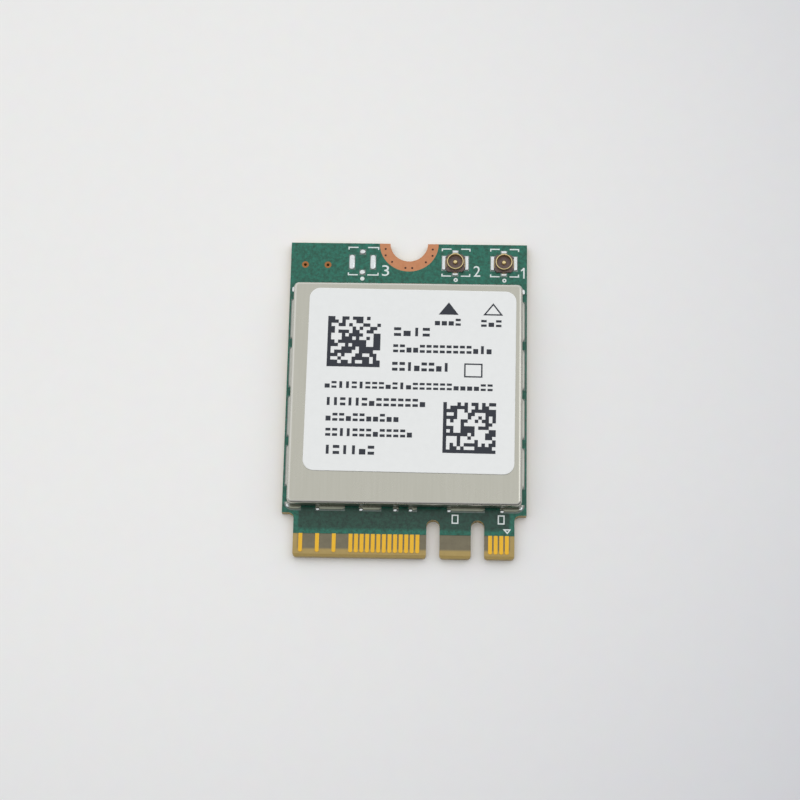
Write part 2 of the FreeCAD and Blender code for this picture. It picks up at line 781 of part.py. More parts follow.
def passive_blocks(kind):
    """Middles and end caps of one kind of small passive: each lies across its row."""
    middles = []
    caps = []
    reach = "(size.passive_length / 2 - size.passive_terminal / 2)"
    core = "(size.passive_length - 2 * size.passive_terminal)"
    width = "size.passive_width"
    terminal = "size.passive_terminal"
    for number, (x, y, axis, count) in enumerate(passive_rows()[kind], start=1):
        name = f"{kind}_{number}"
        row = (axis, "size.passive_pitch", count)
        lies_along_x = axis == "Y_Axis"
        middle_size = (core, width) if lies_along_x else (width, core)
        cap_size = (terminal, width) if lies_along_x else (width, terminal)
        middles.append(Block(name, x, y, *middle_size, *row))
        for end, sign in (("near", "-"), ("far", "+")):
            shift = f"{sign} {reach}"
            spot = (f"{x} {shift}", y) if lies_along_x else (x, f"{y} {shift}")
            caps.append(Block(f"{name}_{end}", *spot, *cap_size, *row))
    return middles, caps


def build_blocks(label, blocks, height, bottom=BOARD_TOP):
    body = add_body(label, z=bottom)
    for block in blocks:
        sketch = add_sketch(body, block.name)
        add_rectangle(
            sketch,
            f"{block.x} - {block.width} / 2",
            f"{block.x} + {block.width} / 2",
            f"{block.y} - {block.length} / 2",
            f"{block.y} + {block.length} / 2",
        )
        feature = pad(body, sketch, height)
        if block.count > 1:
            repeat(body, feature, block.axis, block.pitch, block.count)
    return body


def mark_first_pin(body, x, y, width, height):
    """Shallow round dimple at the front left corner of a chip's top."""
    mark = add_sketch(body, "pin_mark", rise=f"{height} - size.pin_mark_depth")
    add_circle(mark, f"{x} - {width} / 2 + size.pin_mark_inset", f"{y} - {width} / 2 + size.pin_mark_inset",
               "size.pin_mark_radius")
    pocket_through(body, mark, "One side", True)


def crystal_pads():
    reach_x = "(size.crystal_width / 2 - size.crystal_pad_width / 2)"
    reach_y = "(size.crystal_length / 2 - size.crystal_pad_length / 2)"
    pads = []
    for side, sign_x in (("left", "-"), ("right", "+")):
        for end, sign_y in (("front", "-"), ("back", "+")):
            pads.append(single(
                f"crystal_{side}_{end}", f"{CRYSTAL_X} {sign_x} {reach_x}", f"{CRYSTAL_Y} {sign_y} {reach_y}",
                "size.crystal_pad_width", "size.crystal_pad_length",
            ))
    return pads


def build_inner_pieces():
    on_leads = f"({BOARD_TOP} + size.lead_height)"
    on_crystal = f"({on_leads} + size.crystal_base_height)"
    radio_leads = lead_rows("radio", RADIO_X, RADIO_Y, "size.radio_size", "size.radio_size", RADIO_LEAD_COUNT)
    radio_leads.append(single("radio_paddle", RADIO_X, RADIO_Y, "size.radio_paddle", "size.radio_paddle"))
    radio = build_blocks(
        "radio_chip", [single("body", RADIO_X, RADIO_Y, "size.radio_size", "size.radio_size")],
        "size.radio_height", on_leads,
    )
    mark_first_pin(radio, RADIO_X, RADIO_Y, "size.radio_size", "size.radio_height")

    front_ends = []
    front_end_leads = []
    filters = []
    filter_ends = []
    filter_core = "(size.filter_length - 2 * size.filter_terminal)"
    size = "size.front_end_size"
    for chain, x in RADIO_CHAINS.items():
        front_ends.append(single(f"chip_{chain}", x, FRONT_END_Y, size, size))
        front_end_leads += lead_rows(f"front_end_{chain}", x, FRONT_END_Y, size, size, FRONT_END_LEAD_COUNT)
        filters.append(single(f"filter_{chain}", x, FILTER_Y, filter_core, "size.filter_width"))
        filter_ends += end_terminals(
            f"filter_{chain}", x, FILTER_Y, "size.filter_length", "size.filter_width", "size.filter_terminal"
        )

    memory_leads = lead_rows(
        "memory", MEMORY_X, MEMORY_Y, "size.memory_width", "size.memory_length", MEMORY_LEAD_COUNT, False
    )
    memory = single("memory", MEMORY_X, MEMORY_Y, "size.memory_width", "size.memory_length")
    crystal = single("crystal", CRYSTAL_X, CRYSTAL_Y, "size.crystal_width", "size.crystal_length")
    lid_width = "(size.crystal_width - 2 * size.crystal_lid_margin)"
    lid_length = "(size.crystal_length - 2 * size.crystal_lid_margin)"
    lid = single("lid", CRYSTAL_X, CRYSTAL_Y, lid_width, lid_length)
    coil = ("inductor", INDUCTOR_X, INDUCTOR_Y)
    inductor_core = "(size.inductor_length - 2 * size.inductor_terminal)"
    inductor = single(*coil, inductor_core, "size.inductor_width")
    inductor_ends = end_terminals(
        *coil, "size.inductor_length", "size.inductor_width", "size.inductor_terminal"
    )
    capacitors, capacitor_caps = passive_blocks("capacitor")
    resistors, resistor_caps = passive_blocks("resistor")

    return [
        radio,
        build_blocks("radio_chip_leads", radio_leads, "size.lead_height"),
        build_blocks("front_end_chips", front_ends, "size.front_end_height", on_leads),
        build_blocks("front_end_leads", front_end_leads, "size.lead_height"),
        build_blocks("antenna_filters", filters, "size.filter_height"),
        build_blocks("antenna_filter_terminals", filter_ends, "size.filter_height"),
        build_blocks("memory_chip", [memory], "size.memory_height", on_leads),
        build_blocks("memory_chip_leads", memory_leads, "size.lead_height"),
        build_blocks("crystal_base", [crystal], "size.crystal_base_height", on_leads),
        build_blocks("crystal_lid", [lid], "size.crystal_lid_height", on_crystal),
        build_blocks("crystal_pads", crystal_pads(), "size.lead_height"),
        build_blocks("power_inductor", [inductor], "size.inductor_height"),
        build_blocks("inductor_terminals", inductor_ends, "size.inductor_height"),
        build_blocks("capacitors", capacitors, "size.capacitor_height"),
        build_blocks("capacitor_terminals", capacitor_caps, "size.capacitor_height"),
        build_blocks("resistors", resistors, "size.resistor_height"),
        build_blocks("resistor_terminals", resistor_caps, "size.resistor_height"),
    ]


# The board's layers are all cut from one outline: core, masks, copper ring and test points

def build_layers(outline, lands):
    film = "size.film_thickness"
    core_slab = add_slab("core_slab", BOARD_FRONT, film, FILM_TOP)
    ring_disc = add_disc("ring_disc_top", "0", BOARD_BACK, RING_RADIUS, FILM_TOP, film)
    low_ring_disc = add_disc("ring_disc_bottom", "0", BOARD_BACK, RING_RADIUS, "0", film)
    point_discs = []
    for number, (x, y) in enumerate(test_point_places(), start=1):
        point_discs.append(add_disc(f"test_disc_{number}", x, y, "size.test_point_radius", FILM_TOP, film))
    points = add_group("test_discs", point_discs)
    openings = add_group("mask_openings", lands + [ring_disc, points])
    top_slab = add_slab("mask_slab_top", MASK_FRONT, FILM_TOP, BOARD_TOP)
    bottom_slab = add_slab("mask_slab_bottom", MASK_FRONT, "0", film)
    top_sheet = combine("Common", "mask_sheet_top", outline, top_slab)
    bottom_sheet = combine("Common", "mask_sheet_bottom", outline, bottom_slab)
    return [
        combine("Common", "circuit_board", outline, core_slab),
        combine("Cut", "solder_mask_top", top_sheet, openings),
        combine("Cut", "solder_mask_bottom", bottom_sheet, low_ring_disc),
        combine("Common", "ground_ring_top", outline, ring_disc),
        combine("Common", "ground_ring_bottom", outline, low_ring_disc),
        combine("Common", "test_points", outline, points),
    ]


def build_card():
    """All pieces of the card, as the objects that become its nodes."""
    outline = build_outline()
    pieces = [
        build_contacts("edge_contacts_top", TOP_RUNS, FILM_TOP),
        build_contacts("edge_contacts_bottom", UNDERSIDE_RUNS, "0"),
        build_can(),
        build_shield_solder(),
        build_label(),
    ]
    lands = [build_shield_lands()]
    for name, x in JACK_PLACES.items():
        lands.append(build_jack_lands(name, x))
    pieces += build_inner_pieces() + lands
    for name in ("jack_1", "jack_2"):
        pieces += build_jack(name, JACK_PLACES[name])
    starts = ("(size.side_land_start + size.bead_margin)", "(size.end_land_start + size.bead_margin)")
    spare_place = JACK_PLACES["spare_jack"]
    pieces.append(build_jack_beads("spare_jack_solder", spare_place, "size.spare_bead_height", starts))
    return pieces + build_layers(outline, lands)


def write_nodes(pieces):
    """Checks every object of the document, then writes one file for each piece."""
    doc.recompute()
    for item in doc.Objects:
        if "Invalid" in item.State or "Error" in item.State:
            raise RuntimeError(f"{item.Name} failed: {item.State}")
    for piece in pieces:
        if piece.Shape.isNull() or not piece.Shape.isValid() or not piece.Shape.Solids:
            raise RuntimeError(f"{piece.Label} has no valid solid")
    os.makedirs("parts", exist_ok=True)
    for piece in pieces:
        piece.Shape.exportStep(f"parts/{piece.Label}.step")
        print(f"{piece.Label}: {len(piece.Shape.Solids)} solids, {piece.Shape.Volume:.4f} mm3")


write_nodes(build_card())
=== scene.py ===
# %% [markdown]
# # A laptop wireless card
# The card is a keyed circuit board with a soldered metal can, a label and two tiny antenna sockets.
# Its solids come from a CAD model, which is loaded here as a fixed frame in metres.
# The lesson gives each solid a finish, and models again the pieces whose small curves catch the light.

# %% Load the CAD frame
import json
import math
import random

import bmesh
import bpy
from mathutils import Matrix, Vector

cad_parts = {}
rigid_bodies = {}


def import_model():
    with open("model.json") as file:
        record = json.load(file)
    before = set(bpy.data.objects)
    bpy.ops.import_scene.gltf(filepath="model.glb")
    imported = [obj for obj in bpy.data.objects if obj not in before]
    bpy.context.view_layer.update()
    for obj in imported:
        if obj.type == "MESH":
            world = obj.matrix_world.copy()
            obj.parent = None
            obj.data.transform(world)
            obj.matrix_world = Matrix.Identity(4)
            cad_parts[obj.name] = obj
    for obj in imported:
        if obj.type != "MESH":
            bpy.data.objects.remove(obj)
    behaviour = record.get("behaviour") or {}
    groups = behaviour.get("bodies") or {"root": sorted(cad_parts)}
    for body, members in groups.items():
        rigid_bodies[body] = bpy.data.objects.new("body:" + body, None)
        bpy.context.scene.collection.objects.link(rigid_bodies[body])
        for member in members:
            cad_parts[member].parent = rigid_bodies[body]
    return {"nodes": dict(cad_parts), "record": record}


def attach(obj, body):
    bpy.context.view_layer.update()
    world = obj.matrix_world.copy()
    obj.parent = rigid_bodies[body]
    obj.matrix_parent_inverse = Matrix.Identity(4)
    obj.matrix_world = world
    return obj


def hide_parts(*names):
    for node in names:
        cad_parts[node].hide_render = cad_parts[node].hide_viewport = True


for leftover in list(bpy.data.objects):
    bpy.data.objects.remove(leftover)
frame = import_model()
nodes = frame["nodes"]
scene = bpy.context.scene
scene.view_settings.view_transform = "Standard"
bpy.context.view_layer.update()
MM = 0.001

# %% [markdown]
# ## Camera
# The photo looks down at the card from its contact edge, a little from the right.
# A constraint could aim the camera, but it would leave the slight roll of the photo to chance.
# So the camera's own three axes are worked out from azimuth, elevation and roll.
# They become the columns of its matrix, and nothing has to be aimed by eye.

# %% Camera
PHOTO_SIDE_PX = 800
FOCAL_LENGTH_PX = 2099.8
AZIMUTH = math.radians(4.222)
ELEVATION = math.radians(72.745)
ROLL = math.radians(-3.234)
TARGET = Vector((-0.588, -0.042, 0)) * MM
DISTANCE = 192.72 * MM
NEAREST_DRAWN = 0.005

away = Vector((
    math.sin(AZIMUTH) * math.cos(ELEVATION),
    -math.cos(AZIMUTH) * math.cos(ELEVATION),
    math.sin(ELEVATION),
))
level_right = Vector((math.cos(AZIMUTH), math.sin(AZIMUTH), 0))
level_up = away.cross(level_right)
right = math.cos(ROLL) * level_right + math.sin(ROLL) * level_up
up = math.cos(ROLL) * level_up - math.sin(ROLL) * level_right
turned = Matrix((right, up, away)).transposed().to_4x4()

camera = bpy.data.objects.new("camera", bpy.data.cameras.new("camera"))
camera.data.lens = camera.data.sensor_width * FOCAL_LENGTH_PX / PHOTO_SIDE_PX
camera.data.clip_start = NEAREST_DRAWN
camera.matrix_world = Matrix.Translation(TARGET + DISTANCE * away) @ turned
scene.collection.objects.link(camera)
scene.camera = camera
print("camera lens", round(camera.data.lens, 1), "mm at", [round(place / MM, 1) for place in camera.location])

# %% [markdown]
# ## Colours and nodes
# Every colour is written as the sRGB hex value that a paint program would show.
# Shaders count in linear light, so one function converts it.
# A second function adds any node with its settings and links, so a material reads as a short list.

# %% Helpers for materials
def linear(code):
    """An sRGB hex colour as linear red, green, blue and alpha."""
    channels = [int(code[start:start + 2], 16) / 255 for start in (1, 3, 5)]
    return [c / 12.92 if c <= 0.04045 else ((c + 0.055) / 1.055) ** 2.4 for c in channels] + [1.0]


def add_node(tree, kind, settings=None, links=None):
    """Adds a node, sets its properties and sockets, and links outputs of other nodes to its inputs."""
    node = tree.nodes.new(kind)
    for name, setting in (settings or {}).items():
        if isinstance(name, int) or name in node.inputs:
            node.inputs[name].default_value = setting
        else:
            setattr(node, name, setting)
    for name, source in (links or {}).items():
        tree.links.new(source, node.inputs[name])
    return node


def start_material(name, **settings):
    """A material with a main shader: gives its node tree, the shader and Object coordinates."""
    material = bpy.data.materials.new(name)
    material.use_nodes = True
    tree = material.node_tree
    shader = tree.nodes["Principled BSDF"]
    for socket, setting in settings.items():
        shader.inputs[socket.replace("_", " ").title().replace("Ior", "IOR")].default_value = setting
    place = add_node(tree, "ShaderNodeTexCoord").outputs["Object"]
    return material, tree, shader, place


def grain(size_mm):
    """Scale of a noise whose blots are about that wide."""
    return 1 / (size_mm * MM)


print("mid grey in linear light", round(linear("#808080")[0], 3))

# %% [markdown]
# ## Floor and light
# The card lies on white paper under soft light from overhead and behind, so its shadows are short and pale.
# A picture of a room could light it, but a sky with one bright side is easier to steer.
# The sky is dim towards the viewer, and the metal mirrors the change from bright to dim.
# One tall, narrow lamp stands on the right and draws the bright line on the bend of the can, together with a
# painted highlight on the bends.
# The paper is whitest behind the card on the left, and a little greyer away from there: this falloff is
# painted light in the paper's colour.

# %% Paper
# Uncoated paper: dull and faintly mottled, its colour carrying a painted falloff of light from warm white to
# a cooler grey.
# The centre of the painted light and the distances from it are in metres.
PAINTED_LIGHT_CENTRE = (-0.030, 0.018, 0)
PAINTED_FALLOFF_START = 0.015
PAINTED_FALLOFF_END = 0.085
MOTTLE_SHARE = 0.04
paper, tree, shader, place = start_material("uncoated_white_paper", roughness=0.7)
mottle = add_node(tree, "ShaderNodeTexNoise", {"Scale": grain(1.5), "Detail": 4.0}, {"Vector": place})
run = add_node(tree, "ShaderNodeVectorMath", {"operation": "DISTANCE", 1: PAINTED_LIGHT_CENTRE}, {0: place})
painted_falloff = add_node(
    tree, "ShaderNodeMapRange",
    {"From Min": PAINTED_FALLOFF_START, "From Max": PAINTED_FALLOFF_END}, {"Value": run.outputs["Value"]},
)
slow_painted_falloff = add_node(tree, "ShaderNodeMath", {"operation": "POWER", 1: 2.0}, {0: painted_falloff.outputs["Result"]})
# Painted light: warm white near the centre, a cooler grey further off.
tone = add_node(
    tree, "ShaderNodeMix",
    {"data_type": "RGBA", 6: linear("#f8f8f5"), 7: linear("#d7d8db")}, {0: slow_painted_falloff.outputs[0]},
)
tint = add_node(
    tree, "ShaderNodeMix",
    {"data_type": "RGBA", "blend_type": "MULTIPLY", 0: MOTTLE_SHARE},
    {6: tone.outputs[2], 7: mottle.outputs["Color"]},
)
tree.links.new(tint.outputs[2], shader.inputs["Base Color"])
print("made", paper.name)

# %% Floor
# It lies a hair under the card, so that the two level faces never share a place.
FLOOR_HALF = 0.6
FLOOR_DROP = 0.02 * MM
bm = bmesh.new()
bmesh.ops.create_grid(bm, x_segments=1, y_segments=1, size=FLOOR_HALF)
floor_mesh = bpy.data.meshes.new("table_top")
bm.to_mesh(floor_mesh)
bm.free()
floor_mesh.materials.append(paper)
floor = bpy.data.objects.new("table_top", floor_mesh)
floor.location.z = -FLOOR_DROP
scene.collection.objects.link(floor)
print("table side in m", 2 * FLOOR_HALF)

# %% Window lamp
WINDOW_WATTS = 0.22
WINDOW_WIDTH = 0.15
WINDOW_HEIGHT = 0.55
WINDOW_PLACE = (0.40, 0.14, 0.38)
lamp = bpy.data.objects.new("window", bpy.data.lights.new("window", "AREA"))
lamp.data.energy = WINDOW_WATTS
lamp.data.shape = "RECTANGLE"
lamp.data.size = WINDOW_WIDTH
lamp.data.size_y = WINDOW_HEIGHT
lamp.location = WINDOW_PLACE
lamp.rotation_mode = "QUATERNION"
lamp.rotation_quaternion = lamp.location.to_track_quat("Z", "Y")
scene.collection.objects.link(lamp)
print("lamp", WINDOW_WATTS, "W")

# %% Sky
# Its strength follows the cosine of the angle from the bright side.
BRIGHT_SIDE = Vector((-0.2, 0.52, 0.83)).normalized()
DIM_COSINE = -0.2
BRIGHT_COSINE = 0.85
DIM_LEVEL = 0.1
BRIGHT_LEVEL = 1.16
world = bpy.data.worlds.new("studio")
world.use_nodes = True
scene.world = world
tree = world.node_tree
sky = tree.nodes["Background"]
direction = add_node(tree, "ShaderNodeTexCoord").outputs["Generated"]
facing = add_node(
    tree, "ShaderNodeVectorMath", {"operation": "DOT_PRODUCT", 1: BRIGHT_SIDE}, {0: direction}
)
level = add_node(
    tree, "ShaderNodeMapRange",
    {
        "interpolation_type": "SMOOTHSTEP",
        "From Min": DIM_COSINE, "From Max": BRIGHT_COSINE, "To Min": DIM_LEVEL, "To Max": BRIGHT_LEVEL,
    },
    {"Value": facing.outputs["Value"]},
)
tree.links.new(level.outputs["Result"], sky.inputs["Strength"])
sky.inputs["Color"].default_value = linear("#fdfdff")
print("sky from", DIM_LEVEL, "to", BRIGHT_LEVEL)

# %% [markdown]
# ## Board finishes
# The board is woven glass in resin, with copper inside and a green lacquer over it.
# Where the lacquer stops, at the contact edge, the bare laminate is straw yellow.
# Its faces look grey-brown where the inner copper sheet shines through, but its cut edges stay yellow.
# A painted picture could hold all this. Ramps over the place need none, and stay sharp close up.

# %% Bare laminate
# Milled glass and resin: dull and faintly clouded by the glass, with a darker field over the inner copper.
# The field fades out on faces that stand upright, which are the cut edges.
INNER_COPPER_FRONT = -14.3
INNER_COPPER_HALF_WIDTH = 9.5
COPPER_BLUR = 0.1


def between_mm(start, end):
    """Settings for a ramp from 0 at one place to 1 at another, both in mm."""
    return {"From Min": start * MM, "From Max": end * MM}


INTO_COPPER_SIDE = between_mm(INNER_COPPER_HALF_WIDTH + COPPER_BLUR, INNER_COPPER_HALF_WIDTH - COPPER_BLUR)
INTO_COPPER_FRONT = between_mm(INNER_COPPER_FRONT - COPPER_BLUR, INNER_COPPER_FRONT + COPPER_BLUR)
laminate, tree, shader, place = start_material("milled_glass_laminate", roughness=0.42, ior=1.55)
axes = add_node(tree, "ShaderNodeSeparateXYZ", links={"Vector": place})
past_front = add_node(tree, "ShaderNodeMapRange", INTO_COPPER_FRONT, {"Value": axes.outputs["Y"]})
from_middle = add_node(tree, "ShaderNodeMath", {"operation": "ABSOLUTE"}, {0: axes.outputs["X"]})
within_sides = add_node(tree, "ShaderNodeMapRange", INTO_COPPER_SIDE, {"Value": from_middle.outputs[0]})
over_copper = add_node(
    tree, "ShaderNodeMath", {"operation": "MULTIPLY"},
    {0: past_front.outputs["Result"], 1: within_sides.outputs["Result"]},
)
normal = add_node(tree, "ShaderNodeNewGeometry").outputs["Normal"]
tilt = add_node(tree, "ShaderNodeSeparateXYZ", links={"Vector": normal})
level_face = add_node(tree, "ShaderNodeMath", {"operation": "ABSOLUTE"}, {0: tilt.outputs["Z"]})
clouding = add_node(
    tree, "ShaderNodeMath", {"operation": "MULTIPLY"}, {0: over_copper.outputs[0], 1: level_face.outputs[0]}
)
cloth = add_node(
    tree, "ShaderNodeTexNoise", {"Scale": grain(0.5), "Detail": 4.0, "Roughness": 0.6}, {"Vector": place}
)
straw = add_node(
    tree, "ShaderNodeMix",
    {"data_type": "RGBA", 6: linear("#9f8746"), 7: linear("#b29855")}, {0: cloth.outputs["Fac"]},
)
clouded = add_node(
    tree, "ShaderNodeMix",
    {"data_type": "RGBA", 6: linear("#625a42"), 7: linear("#7b7357")}, {0: cloth.outputs["Fac"]},
)
tone = add_node(
    tree, "ShaderNodeMix", {"data_type": "RGBA"},
    {0: clouding.outputs[0], 6: straw.outputs[2], 7: clouded.outputs[2]},
)
tree.links.new(tone.outputs[2], shader.inputs["Base Color"])
print("laminate clouded behind y", INNER_COPPER_FRONT, "mm")

# %% Green lacquer
# Cured solder lacquer: glossy and a little see-through, so the glass shows as fine, uneven teal specks.
# It is darker on the upper side of the tongue, where the inner copper lies close under it.
BOARD_TOP = 0.8
TONGUE_DARK_BACK = -10.2
TONGUE_DARK_FRONT = -12.45
BACK_FADE = 0.4
FRONT_BLUR = 0.15
AHEAD_OF_CAN = between_mm(TONGUE_DARK_BACK, TONGUE_DARK_BACK - BACK_FADE)
BEHIND_RIM = between_mm(TONGUE_DARK_FRONT - FRONT_BLUR, TONGUE_DARK_FRONT + FRONT_BLUR)
lacquer, tree, shader, place = start_material("cured_green_lacquer", roughness=0.34, ior=1.46)
axes = add_node(tree, "ShaderNodeSeparateXYZ", links={"Vector": place})
blots = add_node(
    tree, "ShaderNodeTexNoise", {"Scale": grain(0.3), "Detail": 3.0, "Roughness": 0.7}, {"Vector": place}
)
specks = add_node(
    tree, "ShaderNodeMapRange", {"From Min": 0.3, "From Max": 0.7}, {"Value": blots.outputs["Fac"]}
)
green = add_node(
    tree, "ShaderNodeMix",
    {"data_type": "RGBA", 6: linear("#0a4937"), 7: linear("#177762")}, {0: specks.outputs["Result"]},
)
dull_green = add_node(
    tree, "ShaderNodeMix",
    {"data_type": "RGBA", 6: linear("#082e22"), 7: linear("#1b503f")}, {0: specks.outputs["Result"]},
)
ahead_of_can = add_node(tree, "ShaderNodeMapRange", AHEAD_OF_CAN, {"Value": axes.outputs["Y"]})
behind_rim = add_node(tree, "ShaderNodeMapRange", BEHIND_RIM, {"Value": axes.outputs["Y"]})
from_middle = add_node(tree, "ShaderNodeMath", {"operation": "ABSOLUTE"}, {0: axes.outputs["X"]})
within_sides = add_node(tree, "ShaderNodeMapRange", INTO_COPPER_SIDE, {"Value": from_middle.outputs[0]})
upper_side = add_node(
    tree, "ShaderNodeMath", {"operation": "GREATER_THAN", 1: BOARD_TOP / 2 * MM}, {0: axes.outputs["Z"]}
)
dark_field = ahead_of_can.outputs["Result"]
for limit in (behind_rim.outputs["Result"], within_sides.outputs["Result"], upper_side.outputs[0]):
    both = add_node(tree, "ShaderNodeMath", {"operation": "MULTIPLY"}, {0: dark_field, 1: limit})
    dark_field = both.outputs[0]
tone = add_node(
    tree, "ShaderNodeMix", {"data_type": "RGBA"},
    {0: dark_field, 6: green.outputs[2], 7: dull_green.outputs[2]},
)
ripple = add_node(
    tree, "ShaderNodeBump", {"Strength": 0.12, "Distance": 0.01 * MM}, {"Height": blots.outputs["Fac"]}
)
tree.links.new(tone.outputs[2], shader.inputs["Base Color"])
tree.links.new(ripple.outputs["Normal"], shader.inputs["Normal"])
print("lacquer darker on the tongue from y", TONGUE_DARK_BACK, "to", TONGUE_DARK_FRONT, "mm")

# %% [markdown]
# ## Metal finishes
# The card shows gold on its contacts and sockets, copper at its screw notch, tin solder and the can's sheet.
# A metal's colour is in its reflection, so each is fully metallic, and roughness tells them apart.
# Close up, none of them is even: the tone wavers in small blots, or in streaks where the metal was wiped.
# Such finishes differ in a few numbers, so one function makes them.
# It lets the gloss and a very low relief waver with the tone where the real surface does.

# %% Blotched finishes
def make_blotched(name, dark, pale, blot_mm, detail=3.0, stretch=None, gloss=None, relief=None, **settings):
    """A finish in two tones; gloss is (shiny, dull) and relief is (strength, depth in mm)."""
    material, tree, shader, place = start_material(name, **settings)
    if stretch:
        place = add_node(tree, "ShaderNodeMapping", {"Scale": stretch}, {"Vector": place}).outputs["Vector"]
    noise = add_node(
        tree, "ShaderNodeTexNoise", {"Scale": grain(blot_mm), "Detail": detail}, {"Vector": place}
    )
    blots = noise.outputs["Fac"]
    tone = add_node(
        tree, "ShaderNodeMix", {"data_type": "RGBA", 6: linear(dark), 7: linear(pale)}, {0: blots}
    )
    tree.links.new(tone.outputs[2], shader.inputs["Base Color"])
    if gloss:
        shiny, dull = gloss
        waver = add_node(tree, "ShaderNodeMapRange", {"To Min": shiny, "To Max": dull}, {"Value": blots})
        tree.links.new(waver.outputs["Result"], shader.inputs["Roughness"])
    if relief:
        strength, depth_mm = relief
        skin = add_node(
            tree, "ShaderNodeBump", {"Strength": strength, "Distance": depth_mm * MM}, {"Height": blots}
        )
        tree.links.new(skin.outputs["Normal"], shader.inputs["Normal"])
    print("made", name)
    return material


# %% Gold
# Hard gold over nickel: warm, satin, with wipe marks along the contacts.
gold = make_blotched(
    "hard_gold_plating", "#cf9e2d", "#e4b847", 0.06,
    detail=2.0, stretch=(1.0, 0.06, 1.0), gloss=(0.28, 0.48), metallic=1.0,
)
# A thin flash of gold on the sockets' nickel: paler and shinier than the contacts.
pale_gold = make_blotched("flash_gold_on_nickel", "#bda871", "#ddcd9f", 0.15, metallic=1.0, roughness=0.24)

# %% Copper
# Copper under a thin organic coat: orange and satin, slightly blotched.
copper = make_blotched(
    "coated_copper", "#b17854", "#cb9370", 0.35, detail=4.0, gloss=(0.4, 0.6), metallic=1.0
)
# The test points are copper too, but handled and tarnished: a browner orange, duller.
tarnished = make_blotched("tarnished_copper", "#8c5a30", "#b07a50", 0.2, metallic=1.0, roughness=0.5)

# %% Solder and tinned lands
# Reflowed tin solder: white and bright, with a frosty skin where it froze last.
solder = make_blotched(
    "reflowed_tin_solder", "#b9bdbc", "#e2e6e6", 0.18, gloss=(0.12, 0.34), relief=(0.3, 0.03), metallic=1.0
)
# Thin tin that ran out over a land beyond its solder: greyer and duller than the solder itself.
thin_tin = make_blotched("wetted_land_tin", "#7f8a86", "#aab2ae", 0.15, metallic=1.0, roughness=0.42)
# The same, darker: on the shield lands this is painted shade where they show under the can in the gaps of its
# walls, and the spare socket's bare lands take the same darker tone.
land_tin_and_gap_shade = make_blotched("darker_land_tin_and_gap_shade", "#5c6863", "#7c8681", 0.15, metallic=1.0, roughness=0.42)

# %% Fillet solder
# Solder drawn up along the can's feet: greyer, because the sheet alloys with it and roughens its skin.
# The front feet get painted shade: their solder is darker towards the front.
FRONT_SHADE_START = -10.3
FRONT_SHADE_FULL = -10.45
fillet_tin, tree, shader, place = start_material("alloyed_fillet_solder", metallic=1.0)
axes = add_node(tree, "ShaderNodeSeparateXYZ", links={"Vector": place})
# Painted shade: a mask that rises towards the front feet.
front_shade_mask = add_node(
    tree, "ShaderNodeMapRange", between_mm(FRONT_SHADE_START, FRONT_SHADE_FULL), {"Value": axes.outputs["Y"]}
)
skin = add_node(tree, "ShaderNodeTexNoise", {"Scale": grain(0.25), "Detail": 3.0}, {"Vector": place})
tone = add_node(
    tree, "ShaderNodeMix",
    {"data_type": "RGBA", 6: linear("#9a9b92"), 7: linear("#bcbdb5")}, {0: skin.outputs["Fac"]},
)
# Painted shade: the front feet's solder is multiplied darker.
front_shaded_tone = add_node(
    tree, "ShaderNodeMix",
    {"data_type": "RGBA", "blend_type": "MULTIPLY", 7: linear("#d8dccd")},
    {0: front_shade_mask.outputs["Result"], 6: tone.outputs[2]},
)
gloss = add_node(
    tree, "ShaderNodeMapRange", {"To Min": 0.25, "To Max": 0.5}, {"Value": skin.outputs["Fac"]}
)
tree.links.new(front_shaded_tone.outputs[2], shader.inputs["Base Color"])
tree.links.new(gloss.outputs["Result"], shader.inputs["Roughness"])
print("made", fillet_tin.name)

# %% Can sheet
# Rolled nickel silver: a warm pale grey, satin, with faint streaks along the rolling direction.
# The bends get a painted highlight: they are paler than the lid and the walls.
# A bend is where the upward part of the normal is neither that of a level face nor that of a wall.
sheet_metal, tree, shader, place = start_material("rolled_nickel_silver", metallic=1.0)
along = add_node(tree, "ShaderNodeMapping", {"Scale": (1.0, 0.04, 1.0)}, {"Vector": place})
rolling = add_node(
    tree, "ShaderNodeTexNoise", {"Scale": grain(0.16), "Detail": 3.0}, {"Vector": along.outputs["Vector"]}
)
handling = add_node(tree, "ShaderNodeTexNoise", {"Scale": grain(2.5), "Detail": 3.0}, {"Vector": place})
tone = add_node(
    tree, "ShaderNodeMix",
    {"data_type": "RGBA", 6: linear("#abaa9e"), 7: linear("#b3b2a7")}, {0: rolling.outputs["Fac"]},
)
normal = add_node(tree, "ShaderNodeNewGeometry").outputs["Normal"]
tilt = add_node(tree, "ShaderNodeSeparateXYZ", links={"Vector": normal})
off_level = add_node(
    tree, "ShaderNodeMapRange", {"From Min": 0.995, "From Max": 0.9}, {"Value": tilt.outputs["Z"]}
)
off_upright = add_node(
    tree, "ShaderNodeMapRange", {"From Min": 0.3, "From Max": 0.7}, {"Value": tilt.outputs["Z"]}
)
bend_highlight_mask = add_node(
    tree, "ShaderNodeMath", {"operation": "MULTIPLY"},
    {0: off_level.outputs["Result"], 1: off_upright.outputs["Result"]},
)
